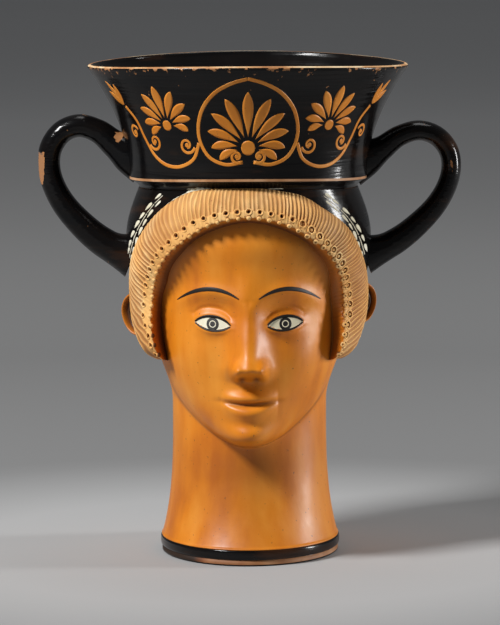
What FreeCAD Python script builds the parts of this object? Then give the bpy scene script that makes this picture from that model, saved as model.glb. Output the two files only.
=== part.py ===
"""A head vase: a thrown cup with two loop handles on a moulded woman's head, neck and oval foot.

Millimetres, +Z up. The origin is the middle of the foot's underside. The face looks along -Y.
Angles round the head are measured from the middle of the face, towards +X.
"""

import FreeCAD
import Part
import math
import os

Vector = FreeCAD.Vector

# Cup: heights, radii and wall
TOTAL_HEIGHT = 192.0
RIM_RADIUS = 62.1
CUP_FLARE_POWER = 1.9
CARINATION_RADIUS = 46.1
WAIST_RADIUS = 42.4
WAIST_HEIGHT = 143.4
UNDERCUT_HEIGHT = 3.4
CARINATION_BAND = 1.4
CUP_WALL = 3.6
LIP_WALL = 2.2
RIM_DIP = 2.0
# How hollow the undercut below the carination is, and how full the turn inside it
UNDERCUT_OUT_SHARE = 0.36
UNDERCUT_UP_SHARE = 0.64
WALL_STEPS = 8

# Foot and neck
FOOT_HEIGHT = 6.2
FOOT_HALF_WIDTH = 35.0
FOOT_HALF_DEPTH = 42.0
FOOT_STEP = 1.0
FOOT_STEP_HEIGHT = 2.4
FOOT_BULGE = 0.6
# Where the band's swelling is full, as shares of its height
FOOT_BULGE_SHARES = (0.3, 0.7)
FLOOR_RECESS = 1.8
FLOOR_THICKNESS = 4.2
NECK_HALF_WIDTH = 29.9
NECK_HALF_DEPTH = 32.0
NECK_TOP = 60.0
NECK_FLARE_POWER = 3.4

# Skull and crown behind the face
HEAD_HALF_WIDTH = 47.3
HEAD_BACK_DEPTH = 48.0
CROWN_FRONT_DEPTH = 44.5
# Where the head is widest, as a share of the way from the neck's top to the waist
HEAD_WIDEST_SHARE = 0.755
SKULL_SWELL_POWER = 0.85
HEAD_WALL = 5.0
SURFACE_BLEND = 3.4

# Face: overall egg and the thirds that place its features
CHIN_HEIGHT = 43.5
HAIRLINE_DROP = 11.6
FACE_HALF_WIDTH = 34.5
FACE_DEPTH = 45.2
FACE_AXIS_DEPTH = 8.0
FOREHEAD_SLOPE = 5.0
# Where the face is widest, as a share of the way from chin to waist
FACE_WIDEST_SHARE = 0.545
CHIN_ROUNDING = 8.0
JAW_POWER = 2.6
JAW_ROOT = 1.8
CHIN_POWER = 2.4
HAIRLINE_HEIGHT = WAIST_HEIGHT - HAIRLINE_DROP
FACE_THIRD = (HAIRLINE_HEIGHT - CHIN_HEIGHT) / 3
NOSE_BASE_HEIGHT = CHIN_HEIGHT + FACE_THIRD
BROW_HEIGHT = NOSE_BASE_HEIGHT + FACE_THIRD
MOUTH_HEIGHT = NOSE_BASE_HEIGHT - FACE_THIRD / 3
EYE_HEIGHT = (CHIN_HEIGHT + WAIST_HEIGHT) / 2
EYE_WIDTH = 2 * FACE_HALF_WIDTH / 5
MOUTH_WIDTH_SHARE = 0.78
HALF_MOUTH = MOUTH_WIDTH_SHARE * EYE_WIDTH

# Nose: where its tip and its root lie and how fast its underside turns in, in thirds of the
# face, then its half width at root and tip in eye widths
NOSE_TIP_SHARE = 0.85
NOSE_ROOT_SHARE = 0.5
NOSE_UNDER_SHARE = 0.22
NOSE_WIDTH_SHARES = (0.42, 0.5)
NOSE_SLOPE_POWER = 1.1
NOSE_RIDGE_POWER = 2.2
# Brow: how far out it peaks in eye widths, its rise there and its fall to the sides in thirds
BROW_PEAK_SHARE = 1.05
BROW_RISE_SHARE = 0.1
BROW_FALL_SHARE = 0.16

# Face: how far each feature stands out or sinks in
NOSE_PROJECTION = 10.2
NOSE_BRIDGE = 2.2
NOSE_TIP_BALL = 1.4
NOSTRIL_SWELL = 4.6
SOCKET_DEPTH = 3.2
EYEBALL_SWELL = 3.4
BROW_SWELL = 1.2
CHEEK_SWELL = 1.8
MOUTH_MOUND = 1.5
UPPER_LIP_SWELL = 1.9
LOWER_LIP_SWELL = 2.1
MOUTH_GROOVE = 1.5
MOUTH_CORNER_LIFT = 1.1
LIP_FOLD = 1.0
PHILTRUM_DEPTH = 0.5
CHIN_SWELL = 2.8

# Hair fringe, an applied roll that frames the face
# Each edge is an arch. Its widest level and the drop below it are shares of chin to waist
FRINGE_OUTER_RISE = 6.6
FRINGE_OUTER_LEVEL_SHARE = 0.4955
FRINGE_OUTER_DROP_SHARE = 0.2803
FRINGE_OUTER_ANGLE = 90.0
FRINGE_OUTER_POWER = 1.7
FRINGE_INNER_LEVEL_SHARE = 0.4454
FRINGE_INNER_DROP_SHARE = 0.6006
FRINGE_INNER_ANGLE = 57.0
FRINGE_INNER_POWER = 1.8
FRINGE_END_LEVEL_SHARE = 0.3353
FRINGE_EDGE = 1.0
FRINGE_THICKNESS = 5.4
FRINGE_END_THICKNESS = 11.0
# Shares of the fringe's length where it starts and stops thickening, and where its end rounds off
FRINGE_SWELL_START_SHARE = 0.62
FRINGE_SWELL_STOP_SHARE = 0.92
FRINGE_ROUND_SHARE = 0.93
FRINGE_ROUND_DEPTH_SHARE = 0.8
# Share of its width where the rounded lip over the face starts
FRINGE_LIP_SHARE = 0.86
FRINGE_LIP_DEPTH_SHARE = 0.9
FRINGE_CROWN_POWER = 0.7
FRINGE_FORWARD_SHARE = 0.38
FRINGE_TILT = 0.15
SLIP = 0.1

# Curls: two rows of punched pellets along the fringe
CURL_RADIUS = 1.15
CURL_HEIGHT = 1.0
CURL_PIT_RADIUS = 0.45
CURL_PIT_DEPTH = 0.55
CURLS_PER_ROW = 43
# Radius and height shares of the rings that a pellet's dome runs through
CURL_DOME_SHARES = [(1.0, 0.0), (0.92, 0.55), (0.62, 1.0)]
CURL_PIT_TAPER_SHARE = 0.5
OUTER_ROW_SHARE = 0.74
INNER_ROW_SHARE = 0.87
CURL_SIDES = 6

# Ears, set just behind the fringe
EAR_HEIGHT = 95.0
# The potter set the right one this much higher, and the left one as much lower
EAR_UNEVEN = 1.7
EAR_LENGTH = 17.0
EAR_REACH = 13.4
EAR_SETBACK = 3.0
EAR_SPLAY = 35.0
EAR_RIM_RADIUS = 1.4
EAR_PLATE = 1.6

# Handles
HANDLE_REACH = 78.9
HANDLE_TOP_RISE = 17.4
HANDLE_UPPER_ROOT_RISE = 6.4
HANDLE_LOWER_ROOT_DROP = 28.0
HANDLE_THICKNESS = 7.8
HANDLE_DEPTH = 11.5
HANDLE_ROOT_SINK = 1.8
# How much of its thickening at the roots the strap also gains in depth
HANDLE_SPREAD_SHARE = 0.25

# Clay coils pressed into the inner joints
COIL_SLIP = 0.3
SEAM_COIL_WIDTH = 8.0
SEAM_COIL_HEIGHT = 1.8
SEAM_COIL_EDGE = 0.5
SEAM_COIL_LOW = 14.0
SEAM_COIL_TOP_GAP = 9.4
WAIST_COIL_HEIGHT = 5.0
WAIST_COIL_SWELL = 1.6

OVERRUN = 10.0

# How finely each surface is sampled
BORE_STEPS = 24
NECK_STEPS = 8
FACE_STEPS = 38
CROWN_STEPS = 9
FACE_TURN_STEPS = 34
TEMPLE_TURN_STEPS = 7
FRONT_BORE_TURN_STEPS = 20
BACK_TURN_STEPS = 12
FACE_HALF_TURN = 42
FRINGE_STEPS = 22
FRINGE_TOP_STEPS = 6
FRINGE_LIP_STEPS = 2
ARCH_STEPS = 200
EAR_STEPS = 8
HANDLE_SIDES = 12
COIL_STEPS = 4
NORMAL_STEP_SHARE = 0.01

CARINATION_HEIGHT = WAIST_HEIGHT + UNDERCUT_HEIGHT
BAND_TOP = CARINATION_HEIGHT + CARINATION_BAND
THROAT_RADIUS = WAIST_RADIUS - HEAD_WALL
BOWL_FLOOR = BAND_TOP + CARINATION_BAND


def smoothstep(value):
    """0 below 0, 1 above 1, and an even S between them."""
    t = max(0.0, min(1.0, value))
    return t * t * (3 - 2 * t)


def blend(start, end, share):
    return start + (end - start) * share


WIDEST_HEIGHT = blend(NECK_TOP, WAIST_HEIGHT, HEAD_WIDEST_SHARE)
FACE_WIDEST_HEIGHT = blend(CHIN_HEIGHT, WAIST_HEIGHT, FACE_WIDEST_SHARE)


def smooth_max(a, b):
    """The larger of two radii, with the crease between them rounded."""
    return (a + b + math.hypot(a - b, SURFACE_BLEND)) / 2


def smooth_min(a, b):
    return -smooth_max(-a, -b)


def bump(offset, width, power=2.0):
    """1 at no offset, falling to nothing a few widths away."""
    return math.exp(-(abs(offset / width) ** power))


# Skull, neck and face as one radius for each angle and height


def foot_flare(height):
    """Share of the foot's spread that the neck still has at this height."""
    below_neck_top = max(0.0, (NECK_TOP - height) / (NECK_TOP - FOOT_HEIGHT))
    return below_neck_top**NECK_FLARE_POWER


def skull_swell(height):
    """0 at the neck's top, 1 where the head is widest."""
    rise = max(0.0, (height - NECK_TOP) / (WIDEST_HEIGHT - NECK_TOP))
    return smoothstep(rise**SKULL_SWELL_POWER)


def crown_fall(height):
    """0 where the head is widest, 1 at the waist under the cup."""
    rise = (height - WIDEST_HEIGHT) / (WAIST_HEIGHT - WIDEST_HEIGHT)
    return 1 - math.cos(math.pi / 2 * max(0.0, min(1.0, rise)))


def skull_half_width(height):
    neck = blend(NECK_HALF_WIDTH, FOOT_HALF_WIDTH - FOOT_BULGE, foot_flare(height))
    skull = blend(neck, HEAD_HALF_WIDTH, skull_swell(height))
    return blend(skull, WAIST_RADIUS, crown_fall(height))


def skull_back_depth(height):
    neck = blend(NECK_HALF_DEPTH, FOOT_HALF_DEPTH - FOOT_BULGE, foot_flare(height))
    skull = blend(neck, HEAD_BACK_DEPTH, skull_swell(height))
    return blend(skull, WAIST_RADIUS, crown_fall(height))


def skull_front_depth(height):
    neck = blend(NECK_HALF_DEPTH, FOOT_HALF_DEPTH - FOOT_BULGE, foot_flare(height))
    rise = (height - EYE_HEIGHT) / (WIDEST_HEIGHT - EYE_HEIGHT)
    crown = blend(neck, CROWN_FRONT_DEPTH, smoothstep(rise))
    return blend(crown, WAIST_RADIUS, crown_fall(height))


def skull_radius(angle, height):
    """Radius of the skull's and neck's section, two half ellipses that meet at the sides."""
    forward = math.cos(angle)
    depth = skull_front_depth(height) if forward > 0 else skull_back_depth(height)
    return 1 / math.hypot(math.sin(angle) / skull_half_width(height), forward / depth)


def face_half_width(height):
    drop = (FACE_WIDEST_HEIGHT - height) / (FACE_WIDEST_HEIGHT - CHIN_HEIGHT)
    drop = max(0.0, min(1.0, drop))
    return FACE_HALF_WIDTH * (1 - drop**JAW_POWER) ** (1 / JAW_ROOT)


def face_depth(height):
    """How far forward of its own axis the face's egg reaches."""
    drop = (CHIN_HEIGHT + CHIN_ROUNDING - height) / CHIN_ROUNDING
    drop = max(0.0, min(1.0, drop))
    rounding = (1 - drop**CHIN_POWER) ** (1 / CHIN_POWER)
    above_eyes = max(0.0, height - EYE_HEIGHT) / (WAIST_HEIGHT - EYE_HEIGHT)
    recede = FOREHEAD_SLOPE * above_eyes**2
    return (FACE_DEPTH - FACE_AXIS_DEPTH - recede) * rounding


def face_radius(angle, height):
    """Radius at which a ray from the vase's axis leaves the face's egg, or 0 where it misses."""
    width, depth = face_half_width(height), face_depth(height)
    if width <= 0 or depth <= 0 or height > WAIST_HEIGHT:
        return 0.0
    a = (math.sin(angle) / width) ** 2 + (math.cos(angle) / depth) ** 2
    b = -2 * math.cos(angle) * FACE_AXIS_DEPTH / depth**2
    c = (FACE_AXIS_DEPTH / depth) ** 2 - 1
    inside = b * b - 4 * a * c
    if inside < 0:
        return 0.0
    fade = smoothstep((WAIST_HEIGHT - height) / (WAIST_HEIGHT - WIDEST_HEIGHT))
    return max(0.0, (-b + math.sqrt(inside)) / (2 * a)) * fade


def plain_radius(angle, height):
    """Head and neck without the small features of the face."""
    return smooth_max(skull_radius(angle, height), face_radius(angle, height))


# Small features of the face, as a push towards the front


def soft_spot(
    x, height, width_share, height_share, side_share=0.0, up_share=0.0, power=2.0
):
    """1 at one place of the face, and on its other side, fading to nothing all round.

    Height is counted from the line that carries the spot. Shares across the face are of an
    eye's width, and shares up it are of a third of the face.
    """
    across = bump(abs(x) - side_share * EYE_WIDTH, width_share * EYE_WIDTH, power)
    return across * bump(height - up_share * FACE_THIRD, height_share * FACE_THIRD, power)


def nose_relief(x, height):
    """The ridge from the brows to the tip, the ball at its end and the two wings."""
    down = (BROW_HEIGHT - height) / FACE_THIRD
    slope = max(0.0, min(1.0, down / NOSE_TIP_SHARE)) ** NOSE_SLOPE_POWER
    projection = blend(NOSE_BRIDGE, NOSE_PROJECTION, slope)
    fade_in = smoothstep((down + NOSE_ROOT_SHARE) / NOSE_ROOT_SHARE)
    fade_out = 1 - smoothstep((down - NOSE_TIP_SHARE) / NOSE_UNDER_SHARE)
    width = EYE_WIDTH * blend(*NOSE_WIDTH_SHARES, smoothstep(down))
    ridge = projection * fade_in * fade_out * bump(x, width, NOSE_RIDGE_POWER)
    over_base = height - NOSE_BASE_HEIGHT
    tip = soft_spot(x, over_base, width_share=0.27, height_share=0.12, up_share=0.17)
    wing = soft_spot(
        x, over_base, width_share=0.17, height_share=0.12, side_share=0.37, up_share=0.12
    )
    return ridge + NOSE_TIP_BALL * tip + NOSTRIL_SWELL * wing


def brow_line(x):
    """Height of the arched ridge over the eyes."""
    across = abs(x) / EYE_WIDTH - BROW_PEAK_SHARE
    return BROW_HEIGHT + FACE_THIRD * (BROW_RISE_SHARE - BROW_FALL_SHARE * across**2)


def eye_relief(x, height):
    """The socket, the ball of the eye in it and the ridge of the brow over it."""
    over_eye = height - EYE_HEIGHT
    socket = soft_spot(
        x, over_eye, width_share=0.6, height_share=0.2, side_share=0.9, up_share=0.07
    )
    eyeball = soft_spot(
        x, over_eye, width_share=0.47, height_share=0.15, side_share=1.0, power=2.4
    )
    over_brow = height - brow_line(x)
    brow = soft_spot(x, over_brow, width_share=0.95, height_share=0.1, side_share=1.0)
    return EYEBALL_SWELL * eyeball + BROW_SWELL * brow - SOCKET_DEPTH * socket


def mouth_line(x):
    """Height of the line between the lips, a little raised at the corners."""
    return MOUTH_HEIGHT + MOUTH_CORNER_LIFT * min(1.0, (x / HALF_MOUTH) ** 2)


def lip(x, height, middle_share, fullness_share, height_share):
    """One lip, fullest in the middle and running out at the corners of the mouth."""
    full = math.sqrt(max(0.0, 1 - (x / HALF_MOUTH) ** 2))
    middle = FACE_THIRD * (middle_share + fullness_share * full)
    return full * bump(height - middle, height_share * FACE_THIRD)


def mouth_relief(x, height):
    """The mound that carries the lips, the lips and the line and folds between and round them."""
    above = height - mouth_line(x)
    mound = soft_spot(x, above, width_share=1.0, height_share=0.34)
    upper = lip(x, above, middle_share=0.04, fullness_share=0.045, height_share=0.075)
    lower = lip(x, above, middle_share=-0.05, fullness_share=-0.055, height_share=0.085)
    groove = soft_spot(x, above, width_share=0.72, height_share=0.034)
    fold = soft_spot(x, above, width_share=0.58, height_share=0.075, up_share=-0.28)
    philtrum = soft_spot(x, above, width_share=0.14, height_share=0.09, up_share=0.24)
    raised = MOUTH_MOUND * mound + UPPER_LIP_SWELL * upper + LOWER_LIP_SWELL * lower
    sunk = MOUTH_GROOVE * groove + LIP_FOLD * fold + PHILTRUM_DEPTH * philtrum
    return raised - sunk


def face_relief(x, height):
    chin = soft_spot(
        x, height - CHIN_HEIGHT, width_share=0.68, height_share=0.21, up_share=0.27
    )
    cheek = soft_spot(
        x,
        height - NOSE_BASE_HEIGHT,
        width_share=0.66,
        height_share=0.38,
        side_share=1.5,
        up_share=0.25,
    )
    features = nose_relief(x, height) + eye_relief(x, height) + mouth_relief(x, height)
    return features + CHIN_SWELL * chin + CHEEK_SWELL * cheek


def head_point(angle, height):
    """A point on the outside of the head and neck."""
    radius = plain_radius(angle, height)
    x = radius * math.sin(angle)
    y = -radius * math.cos(angle)
    if math.cos(angle) > 0:
        y -= face_relief(x, height) * smoothstep(2 * math.cos(angle))
    return Vector(x, y, height)


def cavity_point(angle, height):
    """A point on the head's inner face, which keeps clear of the chin's underside."""
    below = HEAD_WALL * (
        1 - smoothstep((height - FACE_WIDEST_HEIGHT) / (2 * CHIN_ROUNDING))
    )
    outer = min(
        plain_radius(angle, height),
        plain_radius(angle, max(FOOT_HEIGHT, height - below)),
    )
    radius = outer - HEAD_WALL
    return Vector(radius * math.sin(angle), -radius * math.cos(angle), height)


# Solids from grids of points


def skin(grid):
    surface = Part.BSplineSurface()
    surface.interpolate(grid)
    return surface


def border(surface, side):
    """One edge of an interpolated patch, drawn in the order of its grid."""
    u0, u1, v0, v1 = surface.bounds()
    curve = {
        "first_row": lambda: surface.uIso(u0),
        "last_row": lambda: surface.uIso(u1),
        "first_column": lambda: surface.vIso(v0),
        "last_column": lambda: surface.vIso(v1),
    }[side]()
    return curve.toShape()


def slab(outer_grid, inner_grid):
    """The closed solid between two grids of points whose borders face one another."""
    outer, inner = skin(outer_grid), skin(inner_grid)
    faces = [outer.toShape(), inner.toShape()]
    for side in ("first_row", "last_row", "first_column", "last_column"):
        faces.append(Part.makeRuledSurface(border(outer, side), border(inner, side)))
    shell = Part.makeShell(faces)
    shell.sewShape()
    solid = Part.makeSolid(shell)
    if solid.Volume < 0:
        solid.reverse()
    return solid


def steps(start, end, count):
    return [blend(start, end, i / count) for i in range(count + 1)]


def ellipse_wire(half_width, half_depth, height):
    centre = Vector(0, 0, height)
    wide = Vector(half_width, 0, height)
    deep = Vector(0, half_depth, height)
    if half_width >= half_depth:
        curve = Part.Ellipse(wide, deep, centre)
    else:
        curve = Part.Ellipse(deep, wide, centre)
    return Part.Wire([curve.toShape()])


# Cup


def cup_radius(height):
    """Outer radius of the flaring wall."""
    rise = (height - BAND_TOP) / (TOTAL_HEIGHT - BAND_TOP)
    return blend(CARINATION_RADIUS, RIM_RADIUS, rise**CUP_FLARE_POWER)


def bore_radius(height):
    """Inner radius of the flaring wall, which thins towards the lip."""
    rise = (height - BOWL_FLOOR) / (TOTAL_HEIGHT - BOWL_FLOOR)
    return cup_radius(height) - blend(CUP_WALL, LIP_WALL, rise)


def wall_curve(radius_at, heights):
    """The wall's line in section, through a point at each height."""
    curve = Part.BSplineCurve()
    curve.interpolate([Vector(radius_at(z), 0, z) for z in heights])
    return curve.toShape()


def make_cup():
    """The bowl, turned a little higher than it ends and then trimmed at the rim."""
    waist = Vector(WAIST_RADIUS, 0, WAIST_HEIGHT)
    carination = Vector(CARINATION_RADIUS, 0, CARINATION_HEIGHT)
    undercut = Vector(
        blend(WAIST_RADIUS, CARINATION_RADIUS, UNDERCUT_OUT_SHARE),
        0,
        blend(WAIST_HEIGHT, CARINATION_HEIGHT, UNDERCUT_UP_SHARE),
    )
    above_rim = TOTAL_HEIGHT + RIM_DIP
    throat = Vector(THROAT_RADIUS, 0, WAIST_HEIGHT)
    floor_edge = Vector(bore_radius(BOWL_FLOOR), 0, BOWL_FLOOR)
    bowl_turn = Vector(
        blend(THROAT_RADIUS, floor_edge.x, UNDERCUT_UP_SHARE),
        0,
        blend(WAIST_HEIGHT, BOWL_FLOOR, UNDERCUT_OUT_SHARE),
    )
    outer_lip = Vector(cup_radius(above_rim), 0, above_rim)
    inner_lip = Vector(bore_radius(above_rim), 0, above_rim)
    profile = Part.Wire(
        [
            Part.Arc(waist, undercut, carination).toShape(),
            Part.makeLine(carination, Vector(CARINATION_RADIUS, 0, BAND_TOP)),
            wall_curve(cup_radius, steps(BAND_TOP, above_rim, WALL_STEPS)),
            Part.makeLine(outer_lip, inner_lip),
            wall_curve(bore_radius, steps(above_rim, BOWL_FLOOR, WALL_STEPS)),
            Part.Arc(floor_edge, bowl_turn, throat).toShape(),
            Part.makeLine(throat, waist),
        ]
    )
    bowl = Part.Face(profile).revolve(Vector(), Vector(0, 0, 1), 360)
    return trim_rim(bowl)


def trim_rim(bowl):
    """Lowers the rim over the handles by a gentle saddle."""
    reach = RIM_RADIUS + OVERRUN
    low = TOTAL_HEIGHT - RIM_DIP * (reach / RIM_RADIUS) ** 2
    left = Vector(-reach, -reach, low)
    right = Vector(reach, -reach, low)
    top = Vector(0, -reach, TOTAL_HEIGHT)
    above = Vector(0, 0, OVERRUN)
    saddle = Part.Wire(
        [
            Part.Arc(left, top, right).toShape(),
            Part.makeLine(right, right + above),
            Part.makeLine(right + above, left + above),
            Part.makeLine(left + above, left),
        ]
    )
    return bowl.cut(Part.Face(saddle).extrude(Vector(0, 2 * reach, 0))).Solids[0]


# Head

BORE_HEIGHTS = steps(FOOT_HEIGHT, WAIST_HEIGHT, BORE_STEPS)


def half_shell(outer_angles, outer_heights, inner_angles, inner_heights):
    """One mould half. Its two skins may be sampled differently, but share their end planes."""
    outer = [[head_point(a, z) for z in outer_heights] for a in outer_angles]
    inner = [[cavity_point(a, z) for z in inner_heights] for a in inner_angles]
    return slab(outer, inner)


def make_head_halves():
    """Front and back mould halves, which meet at the vase's middle plane."""
    quarter = math.pi / 2
    cheek = math.radians(FACE_HALF_TURN)
    throat = CHIN_HEIGHT - HEAD_WALL / 2
    crown = BROW_HEIGHT + FACE_THIRD / 4
    face_heights = (
        steps(FOOT_HEIGHT, throat, NECK_STEPS)[:-1]
        + steps(throat, crown, FACE_STEPS)[:-1]
        + steps(crown, WAIST_HEIGHT, CROWN_STEPS)
    )
    face_angles = (
        steps(-quarter, -cheek, TEMPLE_TURN_STEPS)[:-1]
        + steps(-cheek, cheek, FACE_TURN_STEPS)[:-1]
        + steps(cheek, quarter, TEMPLE_TURN_STEPS)
    )
    front_bore = steps(-quarter, quarter, FRONT_BORE_TURN_STEPS)
    back_bore = steps(quarter, 3 * quarter, BACK_TURN_STEPS)
    front = half_shell(face_angles, face_heights, front_bore, BORE_HEIGHTS)
    back = half_shell(back_bore, BORE_HEIGHTS, back_bore, BORE_HEIGHTS)
    return front, back


# Fringe and curls


def evenly(points, count):
    """count + 1 points at even distances along a chain of (angle, height) points."""
    reach = [0.0]
    for (a0, z0), (a1, z1) in zip(points, points[1:]):
        reach.append(reach[-1] + math.hypot((a1 - a0) * HEAD_HALF_WIDTH, z1 - z0))
    spread, k = [], 0
    for i in range(count + 1):
        wanted = reach[-1] * i / count
        while k < len(points) - 2 and reach[k + 1] < wanted:
            k += 1
        share = (wanted - reach[k]) / (reach[k + 1] - reach[k])
        spread.append(
            tuple(blend(points[k][j], points[k + 1][j], share) for j in (0, 1))
        )
    return spread


def arch(top, level_share, drop_share, side_angle, power):
    """One edge of the fringe, from the middle of the forehead down the +X side."""
    centre = blend(CHIN_HEIGHT, WAIST_HEIGHT, level_share)
    drop = (WAIST_HEIGHT - CHIN_HEIGHT) * drop_share
    last = math.acos(-(((level_share - FRINGE_END_LEVEL_SHARE) / drop_share) ** (power / 2)))
    chain = []
    for turn in steps(0.0, last, ARCH_STEPS):
        across = abs(math.sin(turn)) ** (2 / power)
        up = abs(math.cos(turn)) ** (2 / power)
        rise = up * (top - centre) if math.cos(turn) > 0 else -up * drop
        chain.append((math.radians(side_angle) * across, centre + rise))
    return evenly(chain, FRINGE_STEPS)


# The outer edge would peak above the waist, where the cup's underside holds it down
OUTER_ARCH = [
    (angle, smooth_min(height, WAIST_HEIGHT))
    for angle, height in arch(
        WAIST_HEIGHT + FRINGE_OUTER_RISE,
        FRINGE_OUTER_LEVEL_SHARE,
        FRINGE_OUTER_DROP_SHARE,
        FRINGE_OUTER_ANGLE,
        FRINGE_OUTER_POWER,
    )
]
INNER_ARCH = arch(
    HAIRLINE_HEIGHT,
    FRINGE_INNER_LEVEL_SHARE,
    FRINGE_INNER_DROP_SHARE,
    FRINGE_INNER_ANGLE,
    FRINGE_INNER_POWER,
)


def fringe_thickness(along, across):
    """Thin at the crown, thickest at the lip over the face, and rounded off at both ends."""
    swell = (abs(along) - FRINGE_SWELL_START_SHARE) / (
        FRINGE_SWELL_STOP_SHARE - FRINGE_SWELL_START_SHARE
    )
    full = blend(FRINGE_THICKNESS, FRINGE_END_THICKNESS, smoothstep(swell))
    past = max(0.0, (abs(along) - FRINGE_ROUND_SHARE) / (1 - FRINGE_ROUND_SHARE))
    full *= math.sqrt(1 - FRINGE_ROUND_DEPTH_SHARE * min(1.0, past) ** 2)
    crown = min(1.0, across / FRINGE_LIP_SHARE) ** FRINGE_CROWN_POWER
    over = max(0.0, (across - FRINGE_LIP_SHARE) / (1 - FRINGE_LIP_SHARE))
    lip_fall = math.sqrt(1 - FRINGE_LIP_DEPTH_SHARE * min(1.0, over) ** 2)
    return blend(FRINGE_EDGE, full, math.sin(math.pi / 2 * crown) * lip_fall)


def fringe_point(along, across, on_top=True):
    """along runs from -1 to 1 between the two ends, across from the crown to the face."""
    place = min(abs(along), 1.0) * FRINGE_STEPS
    k = min(int(place), FRINGE_STEPS - 1)
    outer = [blend(OUTER_ARCH[k][j], OUTER_ARCH[k + 1][j], place - k) for j in (0, 1)]
    inner = [blend(INNER_ARCH[k][j], INNER_ARCH[k + 1][j], place - k) for j in (0, 1)]
    angle = math.copysign(blend(outer[0], inner[0], across), along)
    base = head_point(angle, blend(outer[1], inner[1], across))
    # The roll stands straight off the crown, and leans over the face at its inner edge
    lean = smoothstep(across)
    forward = FRINGE_FORWARD_SHARE * lean
    away = Vector(
        (1 - forward) * math.sin(angle),
        -(1 - forward) * math.cos(angle) - forward,
        FRINGE_TILT * lean,
    )
    lift = fringe_thickness(along, across) if on_top else SLIP
    return base + away.normalize() * lift


def fringe_normal(along, across):
    step = NORMAL_STEP_SHARE
    side = fringe_point(along + step, across) - fringe_point(along - step, across)
    down = fringe_point(along, across + step) - fringe_point(along, across - step)
    normal = side.cross(down)
    if normal.dot(Vector(fringe_point(along, across).x, -HEAD_HALF_WIDTH, 0)) < 0:
        normal = normal * -1
    return normal.normalize()


def make_fringe():
    alongs = steps(-1.0, 1.0, 2 * FRINGE_STEPS)
    to_lip = steps(0.0, FRINGE_LIP_SHARE, FRINGE_TOP_STEPS)
    over_lip = steps(FRINGE_LIP_SHARE, 1.0, FRINGE_LIP_STEPS)
    under = steps(0.0, 1.0, FRINGE_TOP_STEPS)
    top = [[fringe_point(u, q) for q in to_lip[:-1] + over_lip] for u in alongs]
    bed = [[fringe_point(u, q, on_top=False) for q in under] for u in alongs]
    return slab(top, bed)


def ring_of(radius, height):
    corners = [
        Vector(
            radius * math.cos(2 * math.pi * i / CURL_SIDES),
            radius * math.sin(2 * math.pi * i / CURL_SIDES),
            height,
        )
        for i in range(CURL_SIDES + 1)
    ]
    return Part.makePolygon(corners)


def make_curl():
    """One pellet of clay with the pit that the modeller's point left in it."""
    dome = Part.makeLoft(
        [ring_of(out * CURL_RADIUS, up * CURL_HEIGHT) for out, up in CURL_DOME_SHARES],
        True,
        True,
    )
    pit = Part.makeLoft(
        [
            ring_of(CURL_PIT_TAPER_SHARE * CURL_PIT_RADIUS, CURL_HEIGHT - CURL_PIT_DEPTH),
            ring_of(CURL_PIT_RADIUS, CURL_HEIGHT),
        ],
        True,
        True,
    )
    return dome.cut(pit)


def make_curl_row(across):
    pellet = make_curl()
    row = []
    for i in range(CURLS_PER_ROW):
        along = blend(-1.0, 1.0, (i + 0.5) / CURLS_PER_ROW)
        normal = fringe_normal(along, across)
        place = fringe_point(along, across) + normal * SLIP
        turn = FreeCAD.Rotation(Vector(0, 0, 1), normal)
        row.append(pellet.transformed(FreeCAD.Placement(place, turn).toMatrix()))
    return Part.makeCompound(row)


# Ears


def make_ear(side, neighbours):
    """A C-shaped rim over a thin plate, splayed back from the head. side is 1 or -1."""
    splay = math.radians(EAR_SPLAY)
    outward = Vector(side * math.cos(splay), math.sin(splay), 0)
    up = Vector(0, 0, EAR_LENGTH / 2)
    height = EAR_HEIGHT + side * EAR_UNEVEN
    root = Vector(side * (skull_half_width(height) - EAR_RIM_RADIUS), EAR_SETBACK, height)
    turns = steps(0.0, math.pi, EAR_STEPS)
    path_points = [
        root + outward * (EAR_REACH * math.sin(t)) + up * math.cos(t) for t in turns
    ]
    path = Part.BSplineCurve()
    path.interpolate(path_points)
    start = path.parameter(path_points[0])
    circle = Part.makeCircle(EAR_RIM_RADIUS, path_points[0], path.tangent(start)[0])
    rim = Part.Wire([path.toShape()]).makePipeShell([Part.Wire([circle])], True, False)
    rim = Part.makeSolid(rim) if rim.ShapeType == "Shell" else rim
    outline = Part.Wire(
        [path.toShape(), Part.makeLine(path_points[-1], path_points[0])]
    )
    across = outward.cross(Vector(0, 0, 1)).normalize()
    plate = Part.Face(outline).extrude(across * EAR_PLATE)
    plate.translate(across * (-EAR_PLATE / 2))
    ear = rim.fuse(plate)
    for neighbour in neighbours:
        ear = ear.cut(neighbour)
    return max(ear.Solids, key=lambda solid: solid.Volume)


# Handles

# Outward share of the reach, share of the rise from lower root to top, and thickness share
HANDLE_PATH_SHARES = [
    (0.0, 0.772, 1.75),
    (0.17, 0.862, 1.25),
    (0.37, 0.956, 1.05),
    (0.61, 1.0, 1.0),
    (0.82, 0.956, 1.0),
    (0.964, 0.842, 1.0),
    (1.0, 0.705, 0.98),
    (0.951, 0.56, 1.0),
    (0.81, 0.396, 1.12),
    (0.562, 0.226, 1.3),
    (0.359, 0.122, 1.4),
    (0.19, 0.06, 1.5),
    (0.0, 0.0, 2.0),
]


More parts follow.
